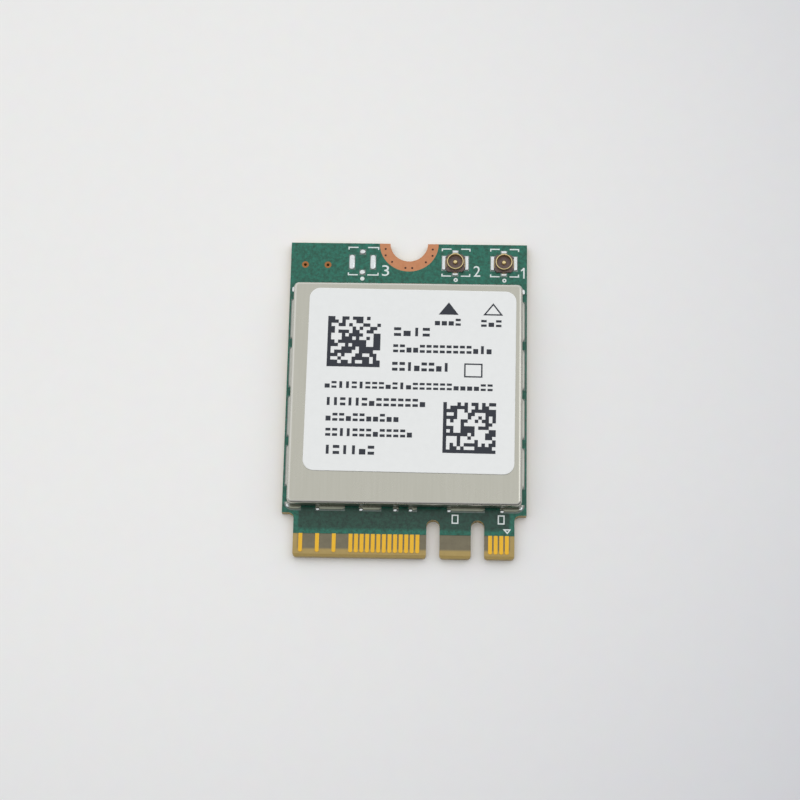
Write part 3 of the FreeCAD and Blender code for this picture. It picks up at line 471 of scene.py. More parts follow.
# Painted highlight: the bends are mixed towards a paler grey.
painted_bend_highlight = add_node(
    tree, "ShaderNodeMix",
    {"data_type": "RGBA", 7: linear("#d0cfc7")}, {0: bend_highlight_mask.outputs[0], 6: tone.outputs[2]},
)
gloss = add_node(
    tree, "ShaderNodeMapRange", {"To Min": 0.22, "To Max": 0.34}, {"Value": handling.outputs["Fac"]}
)
streaks = add_node(
    tree, "ShaderNodeBump", {"Strength": 0.05, "Distance": 0.01 * MM}, {"Height": rolling.outputs["Fac"]}
)
tree.links.new(painted_bend_highlight.outputs[2], shader.inputs["Base Color"])
tree.links.new(gloss.outputs["Result"], shader.inputs["Roughness"])
tree.links.new(streaks.outputs["Normal"], shader.inputs["Normal"])
print("made", sheet_metal.name)

# %% [markdown]
# ## Label, ink and plastic
# The label is a white polyester film printed with dark blue-black resin.
# The board's own marks are white ink, screened on the lacquer.
# The sockets' blocks are a dark brown moulded plastic that stands up to soldering.
# All are slightly blotched and none is a metal, so the same function serves with metallic left at nothing.

# %% Film, inks and plastic
# Coated polyester film: white, silky, with a very fine mottle.
film = make_blotched("coated_label_film", "#edefed", "#f3f5f3", 0.5, detail=4.0, roughness=0.75, ior=1.5)
# Thermal print: blue-black, dull, a little uneven.
print_ink = make_blotched("thermal_print", "#141a25", "#252c38", 0.25, detail=2.0, roughness=0.55)
# Screened epoxy ink: white, with green showing through where it is thin.
marking_ink = make_blotched("screened_white_ink", "#cfdcd8", "#f1f5f3", 0.2, detail=2.0, roughness=0.5)
# A drilled and plated hole's painted shade, seen as a dark brown dot.
hole_shade = make_blotched("painted_hole_shade", "#2c1812", "#4a2a1c", 0.1, detail=2.0, roughness=0.7)
# Moulded liquid-crystal polymer: dark brown, dull, with a fine flow grain.
polymer = make_blotched("moulded_brown_polymer", "#4a3a36", "#78625d", 0.12, roughness=0.55, ior=1.6)

# %% [markdown]
# ## Finishes under the can
# The chips and other pieces under the can show only when the can is off, but they get real finishes too.
# They differ in colour, gloss and grain alone, so one table and one loop make them all.

# %% Finishes of the hidden pieces
FINE_PITS = (0.2, 0.01)
# Each row: record slot, material name, dark tone, pale tone, grain in mm, roughness, metallic
HIDDEN_FINISHES = [
    ("chip_mould", "moulded_black_epoxy", "#17181a", "#26272a", 0.08, 0.6, 0.0),
    ("chip_ceramic", "fired_ceramic", "#a58d68", "#bda683", 0.15, 0.45, 0.0),
    ("resistor_film", "black_glass_coat", "#121214", "#202226", 0.2, 0.2, 0.0),
    ("ferrite", "pressed_ferrite", "#34353a", "#46484c", 0.1, 0.7, 0.0),
    ("tinned_terminals", "matt_tin_plating", "#b9bcbc", "#d3d6d6", 0.1, 0.42, 1.0),
    ("lid_metal", "plated_crystal_lid", "#c2bda8", "#d8d3bf", 0.3, 0.25, 1.0),
]
finish_of_slot = {
    "bare_laminate": laminate,
    "solder_mask": lacquer,
    "gold_plate": gold,
    "bare_copper": copper,
    "tin_solder": solder,
    "can_sheet": sheet_metal,
    "label_film": film,
    "jack_plastic": polymer,
}
for slot, name, dark, pale, grain_mm, roughness, metallic in HIDDEN_FINISHES:
    finish_of_slot[slot] = make_blotched(
        name, dark, pale, grain_mm, relief=FINE_PITS, roughness=roughness, metallic=metallic
    )

# %% [markdown]
# ## Dressing the CAD solids
# The record says which slot each solid has, and the slot picks the finish, so one loop dresses them all.
# The test points and the tinned lands are the exceptions: their finish is a variant of their slot's.

# %% Dress the CAD solids
VARIANTS = {
    "test_points": tarnished,
    "jack_1_lands": thin_tin,
    "jack_2_lands": thin_tin,
    # Painted shade: the shield lands are darker where they show in the can's gaps.
    "shield_lands": land_tin_and_gap_shade,
    "spare_jack_lands": land_tin_and_gap_shade,
}
for part in frame["record"]["subparts"]:
    slots = nodes[part["node"]].data.materials
    slots.clear()
    slots.append(VARIANTS.get(part["node"], finish_of_slot[part["material_slot"]]))

# %% [markdown]
# ## Blocks and turned shapes
# New pieces are drawn in millimetres, because the card was measured in them, and scaled to metres at the end.
# A block is a scaled cube. A turned shape is an outline that is spun about an upright axis.
# A round rim would shade the flat face beside it as if it were a pillow, so that face gets a narrow border.
# One function ends every piece: it turns the faces outwards, scales, shades and hands the piece to the frame.

# %% Blocks and round edges
# Distances in mm under which points count as level or in line, and under which they are merged
SAME_PLACE = 1e-6
MERGE_DISTANCE = 1e-5


def add_block(bm, left, right, front, back, bottom, top):
    """A cube that is scaled and moved to fill the space between six sides."""
    middle = Vector((left + right, front + back, bottom + top)) / 2
    size = Matrix.Diagonal((right - left, back - front, top - bottom, 1))
    bmesh.ops.create_cube(bm, size=1, matrix=Matrix.Translation(middle) @ size)


def upright_edges(bm):
    """Edges whose ends lie over each other."""
    return [edge for edge in bm.edges if (edge.verts[0].co - edge.verts[1].co).xy.length < SAME_PLACE]


def rim_edges(bm, height):
    """Edges of level faces at a height that border an upright face."""
    found = []
    for edge in bm.edges:
        at_height = all(abs(vert.co.z - height) < SAME_PLACE for vert in edge.verts)
        if at_height and any(abs(face.normal.z) < 0.5 for face in edge.link_faces):
            found.append(edge)
    return found


def round_edges(bm, edges, radius, segments):
    """Bevels edges to an arc; with one segment the bevel is a straight cut."""
    bmesh.ops.bevel(
        bm, geom=edges, offset=radius, segments=segments, profile=0.5, affect="EDGES", material=-1
    )


def hold_flat(bm, height, margin):
    """Insets the level face at a height, so that the shading of its round rim stays in a narrow border."""
    bm.normal_update()
    flat = [face for face in bm.faces if all(abs(vert.co.z - height) < SAME_PLACE for vert in face.verts)]
    bmesh.ops.inset_region(bm, faces=flat, thickness=margin, use_even_offset=True)


bm = bmesh.new()
add_block(bm, -1, 1, -1, 1, 0, 1)
print("a block has", len(bm.faces), "faces and", len(upright_edges(bm)), "upright edges")
bm.free()

# %% Turned shapes and domes
DOME_STEPS = 6
DOME_ARC = []
for step in range(DOME_STEPS + 1):
    angle = math.pi / 2 * step / DOME_STEPS
    DOME_ARC.append((math.cos(angle), math.sin(angle)))


def spin_outline(bm, outline, x, y, steps, closed=True):
    """Spins (radius, height) points into a turned shape about an upright axis."""
    points = [bm.verts.new((x + radius, y, height)) for radius, height in outline]
    pairs = list(zip(points, points[1:] + points[:1]))
    edges = [bm.edges.new(pair) for pair in (pairs if closed else pairs[:-1])]
    bmesh.ops.spin(
        bm, geom=points + edges, cent=(x, y, 0), axis=(0, 0, 1), angle=math.tau, steps=steps, use_merge=True
    )
    bmesh.ops.remove_doubles(bm, verts=bm.verts, dist=MERGE_DISTANCE)


def add_dome(bm, middle, half_width, half_length, height):
    """A low closed dome as solder freezes on a land, drawn out between round ends where the land is long."""
    others = set(bm.verts)
    spin_outline(bm, [(0, 0)] + DOME_ARC, 0, 0, steps=24, closed=False)
    dome = [vert for vert in bm.verts if vert not in others]
    round_length = min(half_width, half_length)
    bmesh.ops.scale(bm, vec=(half_width, round_length, height), verts=dome)
    back_half = [vert for vert in dome if vert.co.y > SAME_PLACE]
    front_half = [vert for vert in dome if vert.co.y < -SAME_PLACE]
    bmesh.ops.translate(bm, vec=(0, half_length - round_length, 0), verts=back_half)
    bmesh.ops.translate(bm, vec=(0, round_length - half_length, 0), verts=front_half)
    bmesh.ops.translate(bm, vec=middle, verts=dome)


bm = bmesh.new()
add_dome(bm, Vector((0, 0, 0)), 1, 2, 1)
print("a dome has", len(bm.faces), "faces")
bm.free()


# %% Finishing a piece
def finish_piece(bm, name, material, stands_for=(), crease=35):
    """Makes the object, rides it on the card, and hides the solids it stands for."""
    bmesh.ops.recalc_face_normals(bm, faces=bm.faces)
    bmesh.ops.scale(bm, vec=(MM, MM, MM), verts=bm.verts)
    mesh = bpy.data.meshes.new(name)
    bm.to_mesh(mesh)
    bm.free()
    mesh.materials.append(material)
    mesh.shade_smooth()
    mesh.set_sharp_from_angle(angle=math.radians(crease))
    piece = bpy.data.objects.new(name, mesh)
    scene.collection.objects.link(piece)
    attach(piece, "root")
    if stands_for:
        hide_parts(*stands_for)
    print(name, len(mesh.polygons), "faces")
    return piece


# %% [markdown]
# ## Shield can
# The can is drawn from one thin sheet: a flat lid, four walls with round bends, and feet between gaps.
# It starts as a block without its bottom. Bevels make the corners and the bend round the lid.
# Planes split each wall at the gaps, and the faces in the gaps go, which leaves cleaner faces than booleans.
# A modifier gives the sheet its thickness last, so every edge shows how thin it is.

# %% Can sizes
CAN_HALF_WIDTH = 10.55
CAN_FRONT_REACH = 10.44
CAN_BACK_REACH = 10.68
CAN_TOP = 2.15
CAN_CORNER = 0.5
CAN_BEND = 0.34
FLAT_MARGIN = 0.03
CAN_SHEET = 0.2
GAP_TOP = BOARD_TOP + 0.35
GAP_HALF = 0.4
SIDE_GAPS = [(middle - GAP_HALF, middle + GAP_HALF) for middle in (-4.32, 0.38, 5.08, 9.78)]
SIDE_GAPS += [(-10.02, -8.58)]
BACK_GAPS = [(middle - GAP_HALF, middle + GAP_HALF) for middle in (-7.05, -2.35, 2.35, 7.05)]
FRONT_GAPS = [
    (-9.29, -7.97), (-5.32, -4.06), (-2.04, -1.0), (-0.5, 0.4), (1.16, 3.86), (7.26, 8.62),
]
X_AXIS = Vector((1, 0, 0))
Y_AXIS = Vector((0, 1, 0))
Z_AXIS = Vector((0, 0, 1))
# Each wall: outward way, distance from the middle, way along it, gaps along it
WALLS = [
    (X_AXIS, CAN_HALF_WIDTH, Y_AXIS, SIDE_GAPS),
    (-X_AXIS, CAN_HALF_WIDTH, Y_AXIS, SIDE_GAPS),
    (Y_AXIS, CAN_BACK_REACH, X_AXIS, BACK_GAPS),
    (-Y_AXIS, CAN_FRONT_REACH, X_AXIS, FRONT_GAPS),
]
print("can", 2 * CAN_HALF_WIDTH, "mm wide, with", sum(len(gaps) for *_, gaps in WALLS), "gaps")

# %% Lid, walls and bends
bm = bmesh.new()
add_block(bm, -CAN_HALF_WIDTH, CAN_HALF_WIDTH, -CAN_FRONT_REACH, CAN_BACK_REACH, BOARD_TOP, CAN_TOP)
bm.normal_update()
round_edges(bm, upright_edges(bm), CAN_CORNER, segments=8)
bm.normal_update()
round_edges(bm, rim_edges(bm, CAN_TOP), CAN_BEND, segments=6)
hold_flat(bm, CAN_TOP, FLAT_MARGIN)
bm.normal_update()
bottoms = [face for face in bm.faces if face.normal.z < -0.5]
bmesh.ops.delete(bm, geom=bottoms, context="FACES_ONLY")
print("can without feet", len(bm.faces), "faces")

# %% Feet
# Distance in mm from a wall's plane under which a face counts as part of it
IN_WALL = 1e-4


def wall_faces(bm, outward, reach):
    """Faces that lie flat in one wall."""
    return [face for face in bm.faces if abs(face.calc_center_median().dot(outward) - reach) < IN_WALL]


def split(bm, faces, point, way):
    """Cuts faces where a plane through a point crosses them."""
    geometry = set(faces)
    for face in faces:
        geometry.update(face.edges)
        geometry.update(face.verts)
    bmesh.ops.bisect_plane(bm, geom=list(geometry), plane_co=point, plane_no=way)


for outward, reach, along, gaps in WALLS:
    split(bm, wall_faces(bm, outward, reach), Z_AXIS * GAP_TOP, Z_AXIS)
    for start, end in gaps:
        for edge_of_gap in (start, end):
            split(bm, wall_faces(bm, outward, reach), along * edge_of_gap, along)
    cut_out = []
    for face in wall_faces(bm, outward, reach):
        middle = face.calc_center_median()
        if middle.z < GAP_TOP and any(start < middle.dot(along) < end for start, end in gaps):
            cut_out.append(face)
    bmesh.ops.delete(bm, geom=cut_out, context="FACES")
can = finish_piece(bm, "drawn_can", sheet_metal, ["shield_can"])
wall = can.modifiers.new("sheet", "SOLIDIFY")
wall.thickness = CAN_SHEET * MM
wall.offset = -1
wall.use_even_offset = True

# %% [markdown]
# ## Solder along the feet
# When the board is soldered, tin climbs each foot and freezes in a hollow slope, thinner at its ends.
# A curve with a profile could draw it. Extruding the profile from station to station gives more control:
# each station has its own size and turn, so a run thins at its ends and follows the round corners.
# Small seeded changes of size from station to station keep it from looking machined.

# %% Stations of a run
SLOPE_WIDTH = 0.25
SLOPE_HEIGHT = 0.12
# Hollow slope as (outward, up), from the wall's foot round
SLOPE = [(0, 0), (1, 0), (0.95, 0.15), (0.6, 0.36), (0.3, 0.54), (0.14, 0.74), (0.06, 1), (0, 1)]
STATION_STEP = 0.45
END_STEPS = (0.0, 0.1, 0.24)
END_SIZE = 0.3
GROWTH_PER_MM = 3.2
LEAST_SIZE = 0.93
SOLDER_SEED = 4
chance = random.Random(SOLDER_SEED)


def station_at(place, outward, along, turned, size):
    """Where the slope stands and how it is turned and sized there."""
    facing = Matrix((outward, along, Z_AXIS)).transposed().to_4x4()
    rotation = Matrix.Rotation(turned, 4, "Z")
    return Matrix.Translation(place) @ rotation @ facing @ Matrix.Diagonal((size, 1, size, 1))


def step_marks(length):
    """Distances along a straight run, closer together at its ends."""
    marks = {step * STATION_STEP for step in range(1, int(length / STATION_STEP))}
    for ease in END_STEPS:
        marks |= {ease, length - ease}
    return sorted(mark for mark in marks if 0 <= mark <= length)


def run_size(to_end):
    """The solder is lower towards the end of a run, and uneven all along."""
    return min(1.0, END_SIZE + GROWTH_PER_MM * to_end) * chance.uniform(LEAST_SIZE, 1.0)


def extrude_along(bm, stations):
    """Draws the slope at the first station and extrudes it from each station to the next."""
    corners = [
        bm.verts.new(stations[0] @ Vector((u * SLOPE_WIDTH, 0, v * SLOPE_HEIGHT))) for u, v in SLOPE
    ]
    cap = bm.faces.new(corners)
    bmesh.ops.duplicate(bm, geom=[cap])
    before = stations[0]
    for station in stations[1:]:
        grown = bmesh.ops.extrude_face_region(bm, geom=[cap])["geom"]
        bmesh.ops.delete(bm, geom=[cap], context="FACES_ONLY")
        verts = [part for part in grown if isinstance(part, bmesh.types.BMVert)]
        cap = next(part for part in grown if isinstance(part, bmesh.types.BMFace))
        bmesh.ops.transform(bm, matrix=station @ before.inverted(), verts=verts)
        before = station
    bmesh.ops.remove_doubles(bm, verts=bm.verts, dist=MERGE_DISTANCE)


print("stations of a 3 mm run", [round(mark, 2) for mark in step_marks(3)])

# %% Runs of solder
CORNER_STEPS = 6
CORNER_START = 0.15


def add_straight_run(bm, start, along, outward, length):
    """Solder along a foot that is flat in one wall."""
    extrude_along(bm, [
        station_at(start + along * mark, outward, along, 0, run_size(min(mark, length - mark)))
        for mark in step_marks(length)
    ])


def add_corner_run(bm, centre, along, outward, turn, start_angle, length):
    """Solder that begins in a corner's arc and runs on along the next wall; turn is 1 or -1."""
    stations = []
    for step in range(CORNER_STEPS + 1):
        angle = start_angle + (math.pi / 2 - start_angle) * step / CORNER_STEPS
        place = centre + Matrix.Rotation(turn * angle, 3, "Z") @ outward * CAN_CORNER
        size = run_size(CORNER_START + (angle - start_angle) * CAN_CORNER)
        stations.append(station_at(place, outward, along, turn * angle, size))
    ahead = Matrix.Rotation(turn * math.pi / 2, 3, "Z") @ along
    for mark in step_marks(length)[1:]:
        size = run_size(length - mark)
        stations.append(station_at(place + ahead * mark, outward, along, turn * math.pi / 2, size))
    extrude_along(bm, stations)


bm = bmesh.new()
for outward, reach, along, gaps in WALLS:
    ordered = sorted(gaps)
    for (_, start), (end, _) in zip(ordered, ordered[1:]):
        spot = outward * reach + along * start + Z_AXIS * BOARD_TOP
        add_straight_run(bm, spot, along, outward, end - start)
# The side walls' last gaps reach a little into the corners, so the corner feet begin inside the arcs
back_of_side_gaps = max(end for _, end in SIDE_GAPS)
front_of_side_gaps = -min(start for start, _ in SIDE_GAPS)
end_of_back_gaps = max(end for _, end in BACK_GAPS)
right_of_front_gaps = max(end for _, end in FRONT_GAPS)
left_of_front_gaps = -min(start for start, _ in FRONT_GAPS)
# Each corner: side, end, distance of the end wall, and where the gaps beside the corner stop on both walls
CORNERS = [
    (1, 1, CAN_BACK_REACH, back_of_side_gaps, end_of_back_gaps),
    (1, -1, CAN_FRONT_REACH, front_of_side_gaps, right_of_front_gaps),
    (-1, 1, CAN_BACK_REACH, back_of_side_gaps, end_of_back_gaps),
    (-1, -1, CAN_FRONT_REACH, front_of_side_gaps, left_of_front_gaps),
]
for side, end, reach, side_gap_stop, end_gap_stop in CORNERS:
    arc_x = CAN_HALF_WIDTH - CAN_CORNER
    arc_y = reach - CAN_CORNER
    arc_middle = Vector((side * arc_x, end * arc_y, BOARD_TOP))
    start_angle = math.asin((side_gap_stop - arc_y) / CAN_CORNER)
    add_corner_run(bm, arc_middle, Y_AXIS * end, X_AXIS * side, side * end, start_angle, arc_x - end_gap_stop)
finish_piece(bm, "foot_solder", fillet_tin, ["shield_solder"], crease=60)

# %% Beads at the feet
# Surplus tin gathered in small beads at the left end of each front foot and at the can's corners.
# At the front corners a bead's middle lies half its radius outside the arc.
# At the back corners the tin ran a little way along the side walls, so those beads are longer.
FOOT_BEAD_RADIUS = 0.2
FOOT_BEAD_HEIGHT = 0.1
BACK_BEAD_OUT = 0.1
BACK_BEAD_IN = 0.36
BACK_BEAD_HALF_WIDTH = 0.17
BACK_BEAD_HALF_LENGTH = 0.28
inset = CAN_CORNER - (CAN_CORNER + FOOT_BEAD_RADIUS / 2) * math.cos(math.pi / 4)
round_spots = [
    (foot_start + FOOT_BEAD_RADIUS, -CAN_FRONT_REACH - FOOT_BEAD_RADIUS) for _, foot_start in FRONT_GAPS
]
round_spots += [(side * (CAN_HALF_WIDTH - inset), inset - CAN_FRONT_REACH) for side in (1, -1)]
bm = bmesh.new()
for bead_x, bead_y in round_spots:
    spot = Vector((bead_x, bead_y, BOARD_TOP))
    add_dome(bm, spot, FOOT_BEAD_RADIUS, FOOT_BEAD_RADIUS, FOOT_BEAD_HEIGHT)
for side in (1, -1):
    spot = Vector((side * (CAN_HALF_WIDTH + BACK_BEAD_OUT), CAN_BACK_REACH - BACK_BEAD_IN, BOARD_TOP))
    add_dome(bm, spot, BACK_BEAD_HALF_WIDTH, BACK_BEAD_HALF_LENGTH, FOOT_BEAD_HEIGHT)
finish_piece(bm, "foot_beads", solder)

# %% [markdown]
# ## Label
# The label is a die-cut film with round corners, stuck on a little askew.
# It is a thin block with bevelled upright edges, drawn square and then turned and set on the lid.
# It is modelled a hair thinner than the solid, so that the print on it stays inside the card's height.

# %% Label
PRINT_MIDDLE = Vector((0.36, 1.295, 0))
LABEL_TURN = math.radians(-0.49)
LABEL_LEFT = -9.48
LABEL_RIGHT = 9.56
LABEL_FRONT = -8.81
LABEL_BACK = 8.64
LABEL_CORNER = 1.0
LABEL_RIM = 0.03
FILM_TOP = 2.235
PRINT_TOP = 2.245


def stick_on_lid(bm):
    """Turns a drawing that was made square round the print's middle, and moves it to its place on the lid."""
    place = Matrix.Translation(PRINT_MIDDLE) @ Matrix.Rotation(LABEL_TURN, 4, "Z")
    bmesh.ops.transform(bm, matrix=place, verts=bm.verts)


bm = bmesh.new()
add_block(bm, LABEL_LEFT, LABEL_RIGHT, LABEL_FRONT, LABEL_BACK, CAN_TOP, FILM_TOP)
round_edges(bm, upright_edges(bm), LABEL_CORNER, segments=12)
bm.normal_update()
round_edges(bm, rim_edges(bm, FILM_TOP), LABEL_RIM, segments=2)
hold_flat(bm, FILM_TOP, FLAT_MARGIN)
stick_on_lid(bm)
finish_piece(bm, "die_cut_label", film, ["label"])

# %% [markdown]
# ## Print on the label
# The print is rows of plain blocks, two squares of random cells, two triangles and an empty box.
# A seeded dice roll picks each block's kind and fills the squares, so the print is busy and says nothing.
# A picture on the film would blur close up. Thin blocks stay crisp from any distance.

# %% Rows of blocks
# Each row: left, right, front and back from the print's middle, and the number of blocks
PRINT_ROWS = [
    (2.11, 4.64, 5.21, 5.88, 4),
    (6.35, 8.39, 5.16, 5.82, 3),
    (-1.61, 1.89, 4.10, 4.93, 4),
    (-1.64, 7.50, 2.52, 3.28, 15),
    (-1.69, 3.66, 0.75, 1.59, 8),
    (-7.77, 7.65, -1.01, -0.37, 25),
    (-7.63, 1.58, -2.66, -1.90, 14),
    (-7.57, -0.81, -4.13, -3.39, 11),
    (-7.54, 0.45, -5.56, -4.82, 13),
    (-7.59, -2.87, -7.25, -6.41, 6),
]
STROKE = 0.13
BLOCK_SHARE = 0.74
LOW_SHARE = 0.62


def add_print(bm, left, right, front, back):
    """A thin block of ink on the film."""
    add_block(bm, left, right, front, back, FILM_TOP, PRINT_TOP)


def add_bar_pair(bm, left, right, front, back):
    """Two bars across, with a third of the height between them."""
    third = (back - front) / 3
    add_print(bm, left, right, front, front + third)
    add_print(bm, left, right, back - third, back)


def add_post(bm, left, right, front, back):
    """One upright bar in the middle."""
    middle = (left + right) / 2
    add_print(bm, middle - STROKE, middle + STROKE, front, back)


def add_low_block(bm, left, right, front, back):
    """A full block that is less high than its row."""
    add_print(bm, left, right, front, front + (back - front) * LOW_SHARE)


BLOCK_KINDS = [add_bar_pair, add_bar_pair, add_post, add_low_block]
PRINT_SEED = 11
chance = random.Random(PRINT_SEED)
bm = bmesh.new()
for left, right_end, front, back, count in PRINT_ROWS:
    pitch = (right_end - left) / count
    for number in range(count):
        start = left + number * pitch
        chance.choice(BLOCK_KINDS)(bm, start, start + pitch * BLOCK_SHARE, front, back)
stick_on_lid(bm)
finish_piece(bm, "label_rows", print_ink)

# %% Code squares
# Each square: left, front and side
CODE_SQUARES = [(-7.68, 1.04, 4.85), (3.06, -6.92, 4.78)]
CODE_CELLS = 15
FILLED_SHARE = 0.5


def add_code_square(bm, left, front, side):
    """A square of random cells with a solid left and front border; cells in a row join into bars."""
    cell = side / CODE_CELLS
    for row in range(CODE_CELLS):
        row_front = front + row * cell
        row_back = front + (row + 1) * cell
        filled = [row == 0 or column == 0 or chance.random() < FILLED_SHARE for column in range(CODE_CELLS)]
        column = 0
        while column < CODE_CELLS:
            run = column
            while run < CODE_CELLS and filled[run]:
                run += 1
            if run > column:
                add_print(bm, left + column * cell, left + run * cell, row_front, row_back)
            column = run + 1


bm = bmesh.new()
for left, front, side in CODE_SQUARES:
    add_code_square(bm, left, front, side)
stick_on_lid(bm)
finish_piece(bm, "label_code_squares", print_ink)

# %% Triangles and box
FULL_TRIANGLE = [(2.44, 6.26), (4.27, 6.26), (3.36, 7.46)]
OPEN_TRIANGLE = [(6.52, 6.27), (8.35, 6.27), (7.44, 7.46)]
EMPTY_BOX = [(4.88, 0.25), (6.55, 0.25), (6.55, 1.59), (4.88, 1.59)]


def raise_flat(bm, faces, height):
    """Extrudes flat faces upwards and keeps them as the bottom, so the shape is closed."""
    grown = bmesh.ops.extrude_face_region(bm, geom=faces, use_keep_orig=True)["geom"]
    verts = [part for part in grown if isinstance(part, bmesh.types.BMVert)]
    bmesh.ops.translate(bm, vec=(0, 0, height), verts=verts)


def add_outline(bm, corners, bottom, top, stroke=None):
    """A flat shape from its corners, raised to a height; with a stroke only its outline stays."""
    face = bm.faces.new([bm.verts.new((x, y, bottom)) for x, y in corners])
    flat = [face]
    face.normal_update()
    if stroke:
        flat = bmesh.ops.inset_region(
            bm, faces=[face], thickness=stroke, use_even_offset=True, use_boundary=True
        )["faces"]
        bmesh.ops.delete(bm, geom=[face], context="FACES_ONLY")
    raise_flat(bm, flat, top - bottom)


bm = bmesh.new()
add_outline(bm, FULL_TRIANGLE, FILM_TOP, PRINT_TOP)
for corners in (OPEN_TRIANGLE, EMPTY_BOX):
    add_outline(bm, corners, FILM_TOP, PRINT_TOP, STROKE)
stick_on_lid(bm)
finish_piece(bm, "label_shapes", print_ink)

# %% [markdown]
# ## Antenna sockets
# Each socket is a gold ring on three flat legs, a dark moulded block with cut corners, and a gold pin.
# The ring and the pin are turned parts, so their outlines are spun, as on a lathe.
# The legs and the pin's tail are thin blocks with softened edges.
# The rounded rim and the domed pin are what glitter in the photo.

# %% Socket sizes
SOCKETS = {"jack_1": 8.85, "jack_2": 4.32}
SOCKET_ROW = 13.12
# The ring as radius and height over the board, from its foot in the legs outwards, up and round the rim
RING = [
    (0.645, 0.08), (0.745, 0.08), (0.715, 0.32), (0.755, 0.34), (0.775, 0.36), (0.775, 0.565),
    (0.766, 0.59), (0.745, 0.6), (0.705, 0.6), (0.69, 0.592), (0.682, 0.57),
]
RING_OUTLINE = [(radius, BOARD_TOP + height) for radius, height in RING]
PIN_RADIUS = 0.21
PIN_TOP = BOARD_TOP + 0.5
PIN_DOME = 0.12
PIN_OUTLINE = [(0, BOARD_TOP), (PIN_RADIUS, BOARD_TOP)]
for across, rise in DOME_ARC:
    PIN_OUTLINE.append((PIN_RADIUS * across, PIN_TOP - PIN_DOME + PIN_DOME * rise))
# Left, right, front and back of each flat piece from the socket's middle
LEGS = [(0.6, 1.16, -0.45, 0.45), (-1.16, -0.6, -0.45, 0.45), (-0.23, 0.23, 0.6, 1.18)]
LEG_TOP = BOARD_TOP + 0.1
TAIL = (-0.15, 0.15, -1.18, -0.15)
TAIL_TOP = BOARD_TOP + 0.06
PLATE_RIM = 0.02
BLOCK = (-0.85, 0.85, -0.9, 0.82)
BLOCK_TOP = BOARD_TOP + 0.22
BLOCK_CORNER = 0.2
BLOCK_RIM = 0.03
print("ring", 2 * max(radius for radius, _ in RING), "mm wide")


# %% Sockets
def add_block_at(bm, x, sides, top):
    """A block on the board, with its sides measured from the middle of the socket at x."""
    left, right_end, front, back = sides
    add_block(bm, x + left, x + right_end, SOCKET_ROW + front, SOCKET_ROW + back, BOARD_TOP, top)


def add_plates(bm, x, plates, top):
    """Thin blocks round a socket's middle, with softened upper edges."""
    for sides in plates:
        add_block_at(bm, x, sides, top)
    bm.normal_update()
    round_edges(bm, rim_edges(bm, top), PLATE_RIM, segments=2)


for name, x in SOCKETS.items():
    bm = bmesh.new()
    add_block_at(bm, x, BLOCK, BLOCK_TOP)
    round_edges(bm, upright_edges(bm), BLOCK_CORNER, segments=1)
    bm.normal_update()
    round_edges(bm, rim_edges(bm, BLOCK_TOP), BLOCK_RIM, segments=2)
    hold_flat(bm, BLOCK_TOP, FLAT_MARGIN)
    finish_piece(bm, f"{name}_block", polymer, [f"{name}_insulator"], crease=40)
    bm = bmesh.new()
    add_plates(bm, x, LEGS, LEG_TOP)
    spin_outline(bm, RING_OUTLINE, x, SOCKET_ROW, steps=64)
    finish_piece(bm, f"{name}_ring", pale_gold, [f"{name}_shell"], crease=50)
    bm = bmesh.new()
    add_plates(bm, x, [TAIL], TAIL_TOP)
    spin_outline(bm, PIN_OUTLINE, x, SOCKET_ROW, steps=32, closed=False)
    finish_piece(bm, f"{name}_pin", pale_gold, [f"{name}_contact"], crease=50)

# %% [markdown]
# ## Solder of the sockets
# Tin covers the lands beside each socket, and the bare lands of the third, unfitted one.
# Beside the legs it froze in bars, which are blocks with round corners and a bevel round their tops.
# On the bare lands nothing held it, so it froze in low domes with round ends.

# %% Solder beads
BEAD_TOP = BOARD_TOP + 0.15
BEAD_CORNER = 0.12
BEAD_CROWN = 0.11
SPARE_BEAD_HEIGHT = 0.11
SPARE_X = -4.32
# Left, right, front and back of each bead from the socket's middle
SOCKET_BEADS = [
    (0.86, 1.25, -0.72, 0.72),
    (-1.25, -0.86, -0.72, 0.72),
    (-0.27, 0.27, 0.94, 1.27),
    (-0.27, 0.27, -1.27, -0.94),
]
SPARE_BEADS = [
    (0.71, 1.25, -0.74, 0.74),
    (-1.25, -0.71, -0.74, 0.74),
    (-0.27, 0.27, 0.79, 1.27),
    (-0.27, 0.27, -1.27, -0.75),
]
for name, x in SOCKETS.items():
    bm = bmesh.new()
    for sides in SOCKET_BEADS:
        add_block_at(bm, x, sides, BEAD_TOP)
    round_edges(bm, upright_edges(bm), BEAD_CORNER, segments=6)
    bm.normal_update()
    round_edges(bm, rim_edges(bm, BEAD_TOP), BEAD_CROWN, segments=4)
    finish_piece(bm, f"{name}_beads", solder, [f"{name}_solder"], crease=70)

bm = bmesh.new()
for left, right_end, front, back in SPARE_BEADS:
    middle = Vector((SPARE_X + (left + right_end) / 2, SOCKET_ROW + (front + back) / 2, BOARD_TOP))
    add_dome(bm, middle, (right_end - left) / 2, (back - front) / 2, SPARE_BEAD_HEIGHT)
finish_piece(bm, "spare_jack_beads", solder, ["spare_jack_solder"], crease=70)

# %% [markdown]
# ## Marks on the board
# White ink frames each socket with four corner brackets, and puts a dot and a number beside it.
# A small triangle points at the first contact, and a plain mark stands above each key notch.
# The marks are thin blocks and outlines on the lacquer, so they lie a hair above it as real ink does.
# The numbers are text that is turned into a mesh, because a font draws them better than blocks.

# %% Brackets
INK_TOP = BOARD_TOP + 0.012
MARK_STROKE = 0.115
TICK = 0.28
# Each frame: left, right, front, back and the inner ends of its left and right strokes
FRAMES = [
    (-5.68, -2.80, 11.80, 14.65, -4.74, -3.85),
    (3.04, 5.73, 11.79, 14.59, 3.95, 4.85),
    (7.56, 10.27, 11.78, 14.62, 8.45, 9.38),
]


